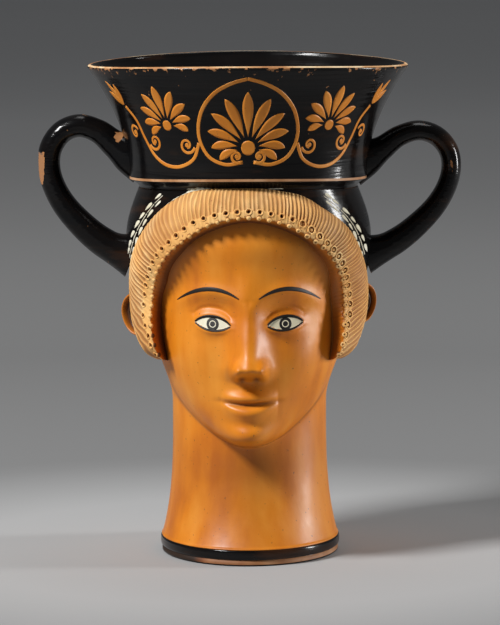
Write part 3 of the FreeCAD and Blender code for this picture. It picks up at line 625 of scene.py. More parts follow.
class Finish:
    """The nodes of one material, on the object's own coordinates."""

    def __init__(self, name):
        self.material = bpy.data.materials.new(name)
        self.material.use_nodes = True
        self.nodes = self.material.node_tree.nodes
        self.links = self.material.node_tree.links
        self.shader = self.nodes["Principled BSDF"]

    def set(self, socket, value):
        self.shader.inputs[socket].default_value = value

    def feed(self, socket, source):
        self.links.new(source, self.shader.inputs[socket])

    def noise(self, cells, detail=4.0, stretch=None):
        """Noise with this many cells per metre."""
        node = self.nodes.new("ShaderNodeTexNoise")
        node.inputs["Scale"].default_value = cells
        node.inputs["Detail"].default_value = detail
        source = self.nodes.new("ShaderNodeTexCoord").outputs["Object"]
        if stretch:
            mapping = self.nodes.new("ShaderNodeMapping")
            mapping.inputs["Scale"].default_value = stretch
            self.links.new(source, mapping.inputs["Vector"])
            source = mapping.outputs["Vector"]
        self.links.new(source, node.inputs["Vector"])
        return node.outputs["Fac"]

    def ramp(self, source, stops):
        """A colour ramp with these (place, colour) stops."""
        node = self.nodes.new("ShaderNodeValToRGB")
        elements = node.color_ramp.elements
        while len(elements) < len(stops):
            elements.new(0.5)
        for element, (place, colour) in zip(elements, stops):
            element.position = place
            element.color = (*colour, 1.0)
        self.links.new(source, node.inputs["Fac"])
        return node.outputs["Color"]

    def spread(self, source, low, high, to_low=0.0, to_high=1.0):
        """low to high spread over to_low to to_high."""
        node = self.nodes.new("ShaderNodeMapRange")
        ends = (("From Min", low), ("From Max", high), ("To Min", to_low), ("To Max", to_high))
        for end, value in ends:
            node.inputs[end].default_value = value
        self.links.new(source, node.inputs["Value"])
        return node.outputs["Result"]

    def carried(self, low, high, name="shade"):
        """The shade that a mesh carries at its points, with low to high spread over 0 to 1."""
        node = self.nodes.new("ShaderNodeAttribute")
        node.attribute_name = name
        return self.spread(node.outputs["Fac"], low, high)

    def added(self, first, second):
        node = self.nodes.new("ShaderNodeMath")
        node.operation = "ADD"
        self.links.new(first, node.inputs[0])
        self.links.new(second, node.inputs[1])
        return node.outputs["Value"]

    def covered(self, base, over, mask):
        """The base, with one colour over it where the mask is 1."""
        node = self.nodes.new("ShaderNodeMix")
        node.data_type = "RGBA"
        self.links.new(mask, node.inputs["Factor"])
        self.links.new(base, node.inputs["A"])
        node.inputs["B"].default_value = (*over, 1.0)
        return node.outputs["Result"]

    def relief(self, source, depth, after=None):
        node = self.nodes.new("ShaderNodeBump")
        node.inputs["Distance"].default_value = depth * MM
        node.inputs["Strength"].default_value = 1.0
        self.links.new(source, node.inputs["Height"])
        if after:
            self.links.new(after, node.inputs["Normal"])
        self.feed("Normal", node.outputs["Normal"])
        return node.outputs["Normal"]


def clay_material(name, places, tones, specks, rough, depth, coat=0.0, shade_colour=PAINTED_SHADE_COLOUR):
    """Fired clay: mottled, with dark specks, and painted shade where the mesh carries shade, near black
    where it is deepest.
    """
    clay = Finish(name)
    mottle = clay.added(clay.noise(28.0, 6.0), clay.noise(110.0, 5.0, (1.0, 1.0, 0.25)))
    colour = clay.ramp(clay.spread(mottle, 0.55, 1.45), list(zip(places, tones)))
    speck_mask = clay.ramp(clay.noise(900.0, 2.0), [(0.7, (0, 0, 0)), (0.76, (1, 1, 1))])
    colour = clay.covered(colour, specks, speck_mask)
    # Painted shade, brown and then near black as the mesh's shade deepens
    colour = clay.covered(colour, shade_colour, clay.carried(0.0, 0.7))
    colour = clay.covered(colour, PAINTED_DEEP_SHADE_COLOUR, clay.carried(0.6, 1.0))
    clay.feed("Base Color", colour)
    clay.feed("Roughness", clay.spread(clay.noise(120.0), *NOISE_MIDDLE, *rough))
    clay.set("Specular IOR Level", 0.35)
    clay.set("Coat Weight", coat)
    clay.set("Coat Roughness", 0.3)
    first = clay.relief(clay.noise(160.0), depth)
    clay.relief(clay.noise(1500.0), depth / 6, first)
    return clay.material


def gloss_material(name, places, tones, rough):
    """Black gloss slip: nearly black, brown where thin, worn to the clay, most where the mesh says."""
    slip = Finish(name)
    mottle = slip.added(slip.noise(16.0, 3.0), slip.noise(30.0, 8.0, (1.0, 1.0, 6.0)))
    colour = slip.ramp(slip.spread(mottle, 0.5, 1.5), list(zip(places, tones)))
    worn = slip.added(slip.noise(420.0, 6.0), slip.carried(0.0, 4.0, "wear"))
    colour = slip.covered(colour, BARE, slip.spread(worn, WORN_FROM, WORN_FROM + WORN_EDGE))
    slip.feed("Base Color", colour)
    slip.feed("Roughness", slip.spread(slip.noise(90.0), *NOISE_MIDDLE, *rough))
    slip.set("Specular IOR Level", 0.24)
    wheel = slip.noise(12.0, 3.0, (1.0, 1.0, 45.0))
    first = slip.relief(wheel, 0.22)
    slip.relief(slip.noise(250.0), 0.05, first)
    return slip.material


# Each material's name, the places and tones of its mottle, specks, roughness and relief
BLACK = gloss_material(
    "black_gloss_slip",
    (0.35, 0.62, 0.85),
    ((0.003, 0.003, 0.0035), (0.006, 0.0045, 0.004), (0.04, 0.016, 0.007)),
    (0.12, 0.24),
)
ORANGE = clay_material(
    "burnished_orange_clay",
    (0.15, 0.5, 0.85),
    ((0.56, 0.145, 0.006), (0.75, 0.23, 0.009), (0.84, 0.31, 0.03)),
    (0.22, 0.08, 0.02),
    (0.38, 0.52),
    0.12,
    coat=0.12,
)
FIGURE = clay_material(
    "reserved_orange_clay",
    (0.3, 0.6, 0.8),
    ((0.68, 0.22, 0.016), (0.78, 0.28, 0.03), (0.8, 0.34, 0.06)),
    (0.25, 0.09, 0.03),
    (0.4, 0.55),
    0.05,
    coat=0.1,
)
HAIR = clay_material(
    "matt_fringe_clay",
    (0.2, 0.5, 0.8),
    ((0.82, 0.42, 0.12), (0.92, 0.52, 0.17), (0.96, 0.66, 0.3)),
    (0.4, 0.17, 0.06),
    (0.6, 0.8),
    0.1,
    shade_colour=(0.33, 0.11, 0.025),
)
INSIDE = clay_material(
    "bare_inner_clay",
    (0.3, 0.6, 0.8),
    ((0.3, 0.13, 0.05), (0.4, 0.18, 0.08), (0.46, 0.23, 0.11)),
    (0.15, 0.06, 0.03),
    (0.6, 0.8),
    0.2,
)
WHITE = clay_material(
    "added_white",
    (0.3, 0.55, 0.8),
    ((0.66, 0.6, 0.42), (0.8, 0.75, 0.58), (0.85, 0.81, 0.68)),
    (0.45, 0.33, 0.18),
    (0.6, 0.75),
    0.03,
    shade_colour=(0.4, 0.25, 0.1),
)
RESERVED_LINE = clay_material(
    "reserved_line_clay",
    (0.3, 0.5, 0.75),
    ((0.34, 0.15, 0.06), (0.47, 0.23, 0.1), (0.6, 0.34, 0.18)),
    (0.2, 0.08, 0.03),
    (0.5, 0.65),
    0.05,
)
WORN_LIP = clay_material(
    "worn_lip_clay",
    (0.3, 0.5, 0.7),
    ((0.4, 0.17, 0.06), (0.62, 0.34, 0.15), (0.82, 0.62, 0.38)),
    (0.1, 0.04, 0.02),
    (0.5, 0.65),
    0.05,
)
PAINT = clay_material(
    "matt_black_paint",
    (0.3, 0.6, 0.85),
    ((0.008, 0.007, 0.006), (0.014, 0.01, 0.008), (0.04, 0.018, 0.008)),
    (0.05, 0.02, 0.01),
    (0.45, 0.6),
    0.02,
)


# Cup


def cup_radius(height):
    """Outer radius of the flaring wall."""
    lip_centre = TOTAL_HEIGHT - LIP_WALL / 2
    rise = np.clip((height - BAND_TOP) / (lip_centre - BAND_TOP), 0.0, 1.0)
    return blend(CARINATION_RADIUS, RIM_RADIUS, rise**CUP_FLARE_POWER)


def cup_wall_radius(height):
    """Outer radius of the cup at any height, with the hollow under its sharp turn."""
    rise = np.clip((height - WAIST_HEIGHT) / (CARINATION_HEIGHT - WAIST_HEIGHT), 0.0, 1.0)
    return np.where(height < CARINATION_HEIGHT, undercut(rise**1.25)[0], cup_radius(height))


def cup_points(angle, height, lift):
    return around(angle, cup_radius(height) + lift, height + saddle(angle, height))


def undercut(turn):
    """(radius, height) along the hollow under the cup's sharp turn, from waist to turn."""
    radius = blend(WAIST_RADIUS, CARINATION_RADIUS, turn**1.6)
    return radius, blend(WAIST_HEIGHT, CARINATION_HEIGHT, turn**0.8)


def cup_profile():
    """(radius, height, slot) round the section: outside, lip, inside, throat and underside."""
    profile = []
    for turn in np.linspace(0, 1, 9):
        profile.append((*undercut(turn), 0))
    for height, slot in ((STRIPE_LOW, 1), (STRIPE_HIGH, 0), (BAND_TOP, 0)):
        profile.append((CARINATION_RADIUS, height, slot))
    lip = LIP_WALL / 2
    for rise in np.linspace(0, 1, 60)[1:]:
        height = blend(BAND_TOP, TOTAL_HEIGHT - lip, rise)
        profile.append((cup_radius(height), height, 0))
    centre = RIM_RADIUS - lip
    for turn in np.linspace(0, math.pi, 13)[1:]:
        slot = 2 if LIP_WORN_FROM < turn < LIP_WORN_TO else 0
        profile.append((centre + lip * math.cos(turn), TOTAL_HEIGHT - lip + lip * math.sin(turn), slot))
    low = BAND_TOP + (BAND_TOP - CARINATION_HEIGHT)
    for fall in np.linspace(0, 1, 50)[1:]:
        height = blend(TOTAL_HEIGHT - lip, low, fall)
        wall = blend(LIP_WALL, CUP_WALL, smoothstep(2 * fall))
        profile.append((cup_radius(height) - wall, height, 0))
    inner, throat = cup_radius(low) - CUP_WALL, WAIST_RADIUS - HEAD_WALL
    for turn in np.linspace(0, math.pi / 2, 10)[1:]:
        radius = inner - (inner - throat) * (1 - math.cos(turn))
        profile.append((radius, low - (low - WAIST_HEIGHT) * math.sin(turn), 0))
    return profile


def make_cup():
    radii, heights, slots = zip(*cup_profile())
    radii, heights = np.array(radii), np.array(heights)
    angles = np.linspace(0, 2 * math.pi, 289)[:-1]
    grid = around(angles, radii[:, None], heights[:, None] + saddle(angles, heights[:, None]))
    below_rim = heights - TOTAL_HEIGHT
    outside = np.arange(len(heights)) < heights.argmax()
    wear = outside * (0.55 * bump(below_rim, LIP_WEAR_REACH) + 0.2 * bump(below_rim, WALL_WEAR_REACH))
    cup = Clay("cup")
    cup.add_ring(grid, list(slots), wear[:, None] + 0 * angles[None, :])
    cup.make([BLACK, RESERVED_LINE, WORN_LIP], ["cup_bowl"], "wear")


# (middle, reach, share of the hollow) of each patch of filler, in degrees from the front
WAIST_PATCHES = ((-26.0, 7.0, 0.2), (-0.5, 7.0, 0.08), (14.0, 4.5, 0.1))
WAIST_PATCHES_SPAN = (-43, 20)


def make_waist_filler():
    """Cream filler of an old mend, in ragged patches along the joint under the cup."""
    angles = np.radians(np.linspace(*WAIST_PATCHES_SPAN, 380))[:, None]
    degrees = np.degrees(angles)
    ragged = 0.8 + 0.12 * np.sin(0.9 * degrees) + 0.08 * np.sin(2.3 * degrees + 1.0)
    width = sum(size * bump(degrees - middle, reach, 6.0) for middle, reach, size in WAIST_PATCHES)
    share = np.linspace(0, 1, 9)[None, :]
    turn = 0.05 + share * width * ragged
    radius, height = undercut(turn)
    crown = 1.6 * width * (1 - (2 * share - 1) ** 4)

    def layer(lift):
        return around(angles, radius + lift, height - 0.5 * lift + saddle(angles, height))

    filler = Clay("waist_filler")
    filler.add_slab(layer(crown - 0.05), layer(np.full(crown.shape, -FILLER_ROOT)))
    filler.make([WHITE])


def make_edge_filler():
    """Cream filler smeared ragged along the fringe's upper edge on the -X side."""
    along = np.linspace(-0.31, -0.14, 260)[:, None]
    ragged = 0.55 + 0.25 * np.sin(110 * along) + 0.2 * np.sin(290 * along + 1.0)
    width = np.clip(ragged, 0.12, 1.0) * (0.02 + 0.09 * bump(along + 0.18, 0.03, 4.0))
    share = np.linspace(-1.0, 0.15, 7)[None, :]
    across = share * width
    crown = 0.35 + 0.25 * (1 - share**2)
    filler = Clay("edge_filler")
    bed = np.full(crown.shape, -FILLER_ROOT)
    filler.add_slab(fringe_points(along, across, crown), fringe_points(along, across, bed))
    filler.make([WHITE])


# Head


def finely_between(*stretches):
    """Joins (start, end, step) stretches into one rising list of values."""
    values = []
    for start, end, step in stretches:
        count = max(1, round((end - start) / step))
        values += list(np.linspace(start, end, count + 1)[:-1])
    return np.array(values + [stretches[-1][1]])


# How dark the painted shade is in each place of the head, and how much darker the neck gets
MOUTH_SHADE = 0.5
WING_SHADE = 0.2
NOSTRIL_SHADE = 0.6
JAW_SHADE = 0.34
CHIN_SHADOW = 0.34
NECK_DARKENING = 0.13
NECK_WAVES = 0.05
SHADOW_BELOW_WALL = 0.42
MOST_SHADE = 0.62
# Heights where the painted shade of the jaw and the darkening of the neck start, going down, and how far
# down they take to be full
JAW_SHADE_TOP, JAW_SHADE_RUN = 78.0, 10.0
NECK_DARKENING_TOP, NECK_DARKENING_RUN = 70.0, 50.0
NECK_FADE_TOP, NECK_FADE_RUN = 76.0, 20.0
# Middle and reach, across and up, of the painted shadow of the chin on the neck
CHIN_SHADOW_MIDDLE = (4.0, 37.0)
CHIN_SHADOW_REACH = (15.0, 9.0)


def head_shade(angle, height):
    """Painted shade in the creases of the face and along the jaw, a painted shadow of the chin on the neck
    and of the fringe's lip on the face, and a neck darker towards the bottom.
    """
    x = plain_radius(angle, height) * np.sin(angle)
    above = (height - mouth_line(x)) / FACE_THIRD
    # Painted shade in the mouth's line, beside the nose's wings and in the nostrils
    shade = MOUTH_SHADE * bump(x, HALF_MOUTH, 4.0) * bump(above, 0.03)
    length = BROW_HEIGHT - NOSE_BASE_HEIGHT
    wing = spot(x, height, 0.6, 0.07, NOSE_BASE_HEIGHT + 0.1 * length, 0.14 * length)
    nostril = spot(x, height, 0.2, 0.1, NOSE_BASE_HEIGHT, 0.04 * length)
    shade = shade + WING_SHADE * wing + NOSTRIL_SHADE * nostril
    # Painted shade in the crease between jaw and neck
    crease = bump(skull_radius(angle, height) - face_radius(angle, height), 0.8)
    jaw = JAW_SHADE * crease * smoothstep((JAW_SHADE_TOP - height) / JAW_SHADE_RUN)
    # Painted shadow of the chin, on the neck under it
    patch = bump(x - CHIN_SHADOW_MIDDLE[0], CHIN_SHADOW_REACH[0])
    patch = patch * bump(height - CHIN_SHADOW_MIDDLE[1], CHIN_SHADOW_REACH[1])
    # The neck darker towards the bottom, with waves of tone
    neck = NECK_DARKENING * smoothstep((NECK_DARKENING_TOP - height) / NECK_DARKENING_RUN)
    neck = neck + NECK_WAVES * np.sin(3 * angle + 0.11 * height) + CHIN_SHADOW * patch
    under_jaw = height < CHIN_HEIGHT + CHIN_ROUNDING + np.abs(x)
    neck = neck * smoothstep((NECK_FADE_TOP - height) / NECK_FADE_RUN) * under_jaw
    # Painted shadow of the fringe's lip, on the face along the foot of its wall
    along = np.linspace(-0.97, 0.97, 195)
    near = np.full(np.broadcast(angle, height).shape, np.inf)
    for foot_angle, foot_height in zip(*fringe_place(along, wall_foot(along))):
        gap = np.hypot((angle - foot_angle) * FACE_DEPTH, height - foot_height)
        near = np.minimum(near, gap)
    in_front = smoothstep(2 * np.cos(angle))
    dark = in_front * (shade + jaw) + neck + SHADOW_BELOW_WALL * bump(near, 2.0)
    return np.clip(dark, 0.0, MOST_SHADE)


# (start, end, step) of the head's columns, in degrees, and rows, finest over the face and the bead
HEAD_COLUMNS = ((-180, -60, 3), (-60, -36, 1), (-36, 36, 0.5), (36, 60, 1), (60, 180, 3))
BEAD_TOP = FOOT_HEIGHT + 1.4
HEAD_ROWS = (
    (FOOT_HEIGHT, BEAD_TOP, 0.14),
    (BEAD_TOP, 36, 2),
    (36, 42, 1),
    (42, 112, 0.5),
    (112, WAIST_HEIGHT, 1.5),
)
CAVITY_ROWS = 40


def make_head():
    """Neck, face and skull as one shell; the seam of its two mould halves is smoothed away."""
    angles = np.radians(finely_between(*HEAD_COLUMNS)[:-1])
    outer_heights = finely_between(*HEAD_ROWS)
    inner_heights = np.linspace(WAIST_HEIGHT, FOOT_HEIGHT, CAVITY_ROWS)
    outer = head_points(angles[None, :], outer_heights[:, None])
    inner = cavity_points(angles[None, :], inner_heights[:, None])
    slots = [2 if height > HAIR_TOP_BAND else 0 for height in outer_heights[:-1]]
    slots += [1] * (len(inner_heights) + 1)
    head = Clay("head")
    shade = head_shade(angles[None, :], outer_heights[:, None])
    shade = np.concatenate([shade, np.zeros((len(inner_heights), len(angles)))])
    head.add_ring(np.concatenate([outer, inner]), slots, shade)
    nodes = ["head_front_half", "head_back_half"]
    head.make([ORANGE, INSIDE, BLACK], nodes)


# Fringe


ARCH_STEPS = 300


def arch(top, centre, drop, side_angle, power):
    """One edge of the fringe, from the forehead's middle down the +X side, evenly spaced."""
    last = math.acos(-(((centre - FRINGE_END_HEIGHT) / drop) ** (power / 2)))
    turn = np.linspace(0, last, 400)
    up = np.abs(np.cos(turn)) ** (2 / power)
    angle = math.radians(side_angle) * np.abs(np.sin(turn)) ** (2 / power)
    height = centre + np.where(np.cos(turn) > 0, up * (top - centre), -up * drop)
    steps = np.hypot(np.diff(angle) * HEAD_HALF_WIDTH, np.diff(height))
    reach = np.concatenate([[0], np.cumsum(steps)])
    even_reach = np.linspace(0, reach[-1], ARCH_STEPS + 1)
    return np.interp(even_reach, reach, angle), np.interp(even_reach, reach, height)


INNER_ARCH = arch(HAIRLINE_HEIGHT, *FRINGE_INNER)
OUTER_ANGLES, OUTER_HEIGHTS = arch(FRINGE_OUTER_PEAK, *FRINGE_OUTER)
OUTER_ARCH = (OUTER_ANGLES, smooth_min(OUTER_HEIGHTS, WAIST_HEIGHT))


def course(along, left, right):
    """A smooth course through the knots of each side."""
    place = np.abs(along)
    both = []
    for knots in (left, right):
        places, values = np.transpose(knots)
        run = np.interp(place, places, np.arange(len(knots)))
        first = np.minimum(np.floor(run).astype(int), len(knots) - 2)
        both.append(blend(values[first], values[first + 1], smoothstep(run - first)))
    return np.where(np.asarray(along) < 0, both[0], both[1])


def lip_share(along):
    return course(along, LIP_LEFT, LIP_RIGHT)


def wall_foot(along):
    """Where the wall under the lip meets the face."""
    return course(along, WALL_LEFT, WALL_RIGHT)


def outer_row_share(along):
    return course(along, ROW_LEFT, ROW_RIGHT)


def fringe_thickness(along, across):
    """Thin at the crown, thickest at the lip over the face, and rounded off at both ends."""
    swell = smoothstep((np.abs(along) - FRINGE_SWELL_START) / FRINGE_SWELL_RUN)
    full = blend(FRINGE_THICKNESS, FRINGE_END_THICKNESS, swell)
    past = np.clip((np.abs(along) - FRINGE_END_SHARE) / (1 - FRINGE_END_SHARE), 0, 1)
    full = full * np.sqrt(1 - 0.8 * past**2)
    lip = lip_share(along)
    rise = np.sin(math.pi / 2 * np.clip(across / lip, 0.0, 1.0) ** 0.75)
    over = np.clip((across - lip) / (wall_foot(along) - lip), 0, 1)
    return blend(FRINGE_EDGE, full, rise * (1 - 0.97 * over**1.7))


def edge_share(along):
    """Where the combed edge really starts, as a share of the way across."""
    drawn_in = EDGE_NIP_LEFT * bump(along + 0.53, 0.15) + EDGE_NIP_RIGHT * bump(along - 0.52, 0.17)
    drawn_in += EDGE_NIP_RIGHT_UPPER * bump(along - 0.28, 0.1)
    over_waist = smoothstep((along + 0.3) / 0.2) * (1 - smoothstep((along - 0.02) / 0.12))
    return drawn_in - EDGE_OVER_WAIST * over_waist


def fringe_place(along, across):
    """Angle and height on the head under a place on the fringe."""
    place = np.abs(along) * ARCH_STEPS
    index = np.arange(ARCH_STEPS + 1)
    outer = [np.interp(place, index, edge) for edge in OUTER_ARCH]
    inner = [np.interp(place, index, edge) for edge in INNER_ARCH]
    share = blend(edge_share(along), 1.0, across)
    return np.copysign(blend(outer[0], inner[0], share), along), blend(outer[1], inner[1], share)


def fringe_points(along, across, lift=None):
    """along runs from -1 to 1 between the ends, across from the crown to the face."""
    along, across = np.broadcast_arrays(along, across)
    angle, height = fringe_place(along, across)
    base = head_points(angle, height)
    lean = smoothstep(across)
    end_lean = smoothstep((np.abs(along) - 0.45) / 0.3) * smoothstep((across - 0.4) / 0.5)
    forward = FRINGE_FORWARD_SHARE * lean + FRINGE_END_LEAN * end_lean
    away = np.stack(
        [(1 - forward) * np.sin(angle), -(1 - forward) * np.cos(angle) - forward, FRINGE_TILT * lean],
        axis=-1,
    )
    away /= np.linalg.norm(away, axis=-1, keepdims=True)
    thickness = fringe_thickness(along, across) if lift is None else lift
    return base + away * np.asarray(thickness)[..., None]


def strand_number(along, across, side):
    """Counts the strands of one side from the middle, over the unrolled surface of the head."""
    angle, height = fringe_place(along, across)
    reach = np.abs(angle) * HEAD_HALF_WIDTH
    lean = math.radians(STRAND_LEANS[side])
    outward, downward = reach - STRAND_TURN_REACH, STRAND_TURN_HEIGHT - height
    leaning = outward * math.cos(lean) + downward * math.sin(lean)
    down = smoothstep((np.abs(along) - 0.1) / 0.4)
    place = blend(reach, STRAND_TURN_REACH + leaning, down)
    wider = smoothstep((STRAND_RULER - STRAND_TOP_REACH) / STRAND_WIDENING)
    pitch = blend(STRAND_TOP_PITCH, STRAND_SIDE_PITCHES[side], wider)
    return np.interp(place, STRAND_RULER, np.cumsum(STRAND_RULER_STEP / pitch))


def strand_ridges(along, across):
    """1 on the ridge of a combed strand and 0 in the groove beside it, and the strand's tone."""
    left, right = [strand_number(along, across, side) for side in (0, 1)]
    phase = np.where(along < 0, left, right)
    phase = phase + 0.12 * np.sin(2 * across + 41 * along) + 0.1 * np.sin(97 * along - 3 * across)
    number = np.round(phase)
    uneven = 0.8 + 0.2 * np.sin(12.9 * number)
    tone = 0.5 + 0.5 * np.sin(7.7 * number + 2.0 * np.sin(9 * across + number))
    return bump(2 * np.abs(phase - number), 0.46) * uneven, tone


def strand_strength(along, across):
    """The comb bites from the outer edge down to the pits, a little unevenly."""
    stop = outer_row_share(along) - 0.05 + 0.02 * np.sin(61 * along) + 0.01 * np.sin(187 * along)
    return blend(0.2, 1.0, 1 - smoothstep((across - stop) / 0.05))


def pit_relief(distance, ringed):
    """Depth and shade of one punched pit, which becomes a ring round a small boss where ringed."""
    hole = 1 - smoothstep((distance - 0.55 * PIT_RADIUS) / (0.6 * PIT_RADIUS))
    ring = bump(distance - RINGLET_RADIUS, 0.3 * RINGLET_RADIUS, 3.0)
    boss = bump(distance, 0.6 * RINGLET_RADIUS)
    depth = blend(PIT_DEPTH * hole, 0.6 * PIT_DEPTH * ring - 0.25 * boss, ringed)
    return depth, blend(hole, ring, ringed)


def is_ringed(along):
    """0 where the tool punched plain pits and 1 where it left rings, on the +X side."""
    return float(smoothstep((along - 0.12) / 0.2))


def pits_of_row(along, points):
    """Depth and shade that the outer row of pits gives to a grid of points on the fringe."""
    depth, shade = np.zeros(points.shape[:2]), np.zeros(points.shape[:2])
    for i in range(CURLS_PER_ROW):
        middle = curl_place(i)
        near = np.abs(along[:, 0] - middle) < 0.05
        centre = fringe_points(np.array(middle), outer_row_share(middle))
        distance = np.linalg.norm(points[near] - centre, axis=-1)
        one_depth, one_shade = pit_relief(distance, is_ringed(middle))
        deeper = np.abs(one_depth) > np.abs(depth[near])
        depth[near] = np.where(deeper, one_depth, depth[near])
        shade[near] = np.maximum(shade[near], one_shade)
    return depth, shade


def curl_place(index):
    """Where along the fringe one curl stands; the modeller's spacing wanders a little."""
    return blend(-1.0, 1.0, (index + 0.5) / CURLS_PER_ROW) + 0.003 * math.sin(5.7 * index)


# Painted shade in the grooves in front and at the sides, the strands' own tones, painted shade between the
# lip's ripples, and painted shadow on the wall under the lip on each side
GROOVE_SHADES = (0.36, 0.52)
STRAND_TONES = 0.1
LIP_SHADE = 0.3
WALL_SHADES = (0.72, 0.5)
FRINGE_ROWS = 1251
FRINGE_BED = 0.2


def make_fringe():
    """The roll with its combed strands, punched pits and rippled lip over the face."""
    along = np.linspace(-1, 1, FRINGE_ROWS)[:, None]
    lip, foot = lip_share(along), wall_foot(along)
    to_lip = np.concatenate([np.linspace(0, 0.72, 58)[:-1], np.linspace(0.72, 1, 34)])[None, :]
    over_lip = np.linspace(0, 1, 15)[None, 1:]
    across = np.concatenate([lip * to_lip, lip + (foot - lip) * over_lip], axis=1)
    on_lip = smoothstep((across - lip + 0.06) / 0.06) * smoothstep((foot - across) / (foot - lip))
    ripple = 0.5 - 0.5 * np.cos(math.pi * LIP_RIPPLES * along + 1.5 * np.sin(19 * along))
    smooth_top = fringe_points(along, across)
    ridges, tone = strand_ridges(along, across)
    groove = (1 - ridges) * strand_strength(along, across)
    depth, shade = pits_of_row(along, smooth_top)
    relief = STRAND_DEPTH * groove * smoothstep((across + 0.02) / 0.04) + depth
    rippled = across - LIP_RIPPLE_SHARE * ripple * on_lip
    top = fringe_points(along, rippled, np.maximum(0.1, fringe_thickness(along, across) - relief))
    bed = fringe_points(along, across, np.full(relief.shape, -FRINGE_BED))
    # Painted shade in the strands' grooves, deeper at the sides, over each strand's own tone
    bite = blend(*GROOVE_SHADES, smoothstep((np.abs(along) - 0.15) / 0.35))
    shade = np.maximum(shade, bite * groove + STRAND_TONES * tone * strand_strength(along, across))
    # Painted shade in the troughs between the lip's ripples
    shade = np.maximum(shade, LIP_SHADE * ripple * on_lip)
    # Painted shadow on the wall under the lip, darker on the -X side, which faces away from the key lamp
    wall_shadow = blend(*WALL_SHADES, smoothstep((along - 0.2) / 0.4))
    shade = np.maximum(shade, wall_shadow * smoothstep(1.4 * (across - lip) / (foot - lip) - 0.2))
    columns = across.shape[1] - 1
    slots = [0 if c < to_lip.shape[1] + 1 else 1 for c in range(columns)]
    fringe = Clay("hair_roll")
    fringe.add_slab(top, bed, slots, shade)
    fringe.make([HAIR, ORANGE], ["hair_fringe"])


def place_on_fringe(along, across):
    """A matrix that stands a small form on the fringe's surface, in millimetres."""
    step = 0.01
    here = fringe_points(along, across)
    side = fringe_points(along + step, across) - fringe_points(along - step, across)
    down = fringe_points(along, across + step) - fringe_points(along, across - step)
    normal = Vector(np.cross(side, down)).normalized()
    if normal.dot(Vector(here) - Vector((0, 0, here[2]))) < 0:
        normal.negate()
    turn = Vector((0, 0, 1)).rotation_difference(normal).to_matrix().to_4x4()
    return Matrix.Translation(Vector(here)) @ turn


def lathe(profile, count):
    """Rings of points for a (radius, height) profile turned round the Z axis."""
    angles = np.linspace(0, 2 * math.pi, count + 1)[:-1]
    return np.array(
        [[(r * math.cos(a), r * math.sin(a), h) for a in angles] for r, h in profile]
    )


def moved(rings, matrix):
    turn = np.array(matrix.to_3x3())
    return rings @ turn.T + np.array(matrix.translation)


def make_outer_curls():
    """Low rims of clay that the punch pushed up round its pits, fullest on the +X side."""
    row = Clay("curls_outer")
    tube = np.linspace(0, 2 * math.pi, 11)[:-1]
    for i in range(CURLS_PER_ROW):
        middle = curl_place(i)
        ringed = is_ringed(middle)
        thick = blend(0.2, 0.3, ringed)
        reach = blend(1.45 * PIT_RADIUS, 1.5 * RINGLET_RADIUS, ringed) * (1 + 0.08 * math.sin(7.3 * i))
        profile = [(reach + thick * math.cos(t), 0.7 * thick * math.sin(t)) for t in tube]
        row.add_ring(moved(lathe(profile, 20), place_on_fringe(middle, outer_row_share(middle))))
    row.make([HAIR], ["curls_outer_row"])


def make_inner_curls():
    """Pellets along the lip over the face, plain knobs on one side and dimpled on the other."""
    row = Clay("curls_inner")
    r, h = CURL_RADIUS, CURL_HEIGHT
    for i in range(CURLS_PER_ROW):
        middle = curl_place(i)
        ringed = is_ringed(middle)
        profile = [
            (r, -0.6 * h),
            (1.05 * r, 0.1 * h),
            (0.95 * r, 0.5 * h),
            (0.72 * r, 0.8 * h),
            (0.46 * r, blend(1.0, 0.75, ringed) * h),
            (0.2 * r, blend(1.08, 0.5, ringed) * h),
        ]
        size = 0.92 + 0.12 * math.sin(7.3 * i) * math.cos(2.1 * i) + 0.15 * ringed
        rings = lathe([(radius * size, height * size) for radius, height in profile], 16)
        # Painted shade at the pellets' foot, where they meet the fringe, and in the dimples of the ringed
        # ones
        shade = np.zeros(rings.shape[:2])
        shade[0] = 0.9
        shade[1] = 0.55
        shade[-1] = 0.75 * ringed
        row.add_capped(moved(rings, place_on_fringe(middle, float(lip_share(middle)) + 0.01)), shade)
    row.make([HAIR], ["curls_inner_row"])


# Ears


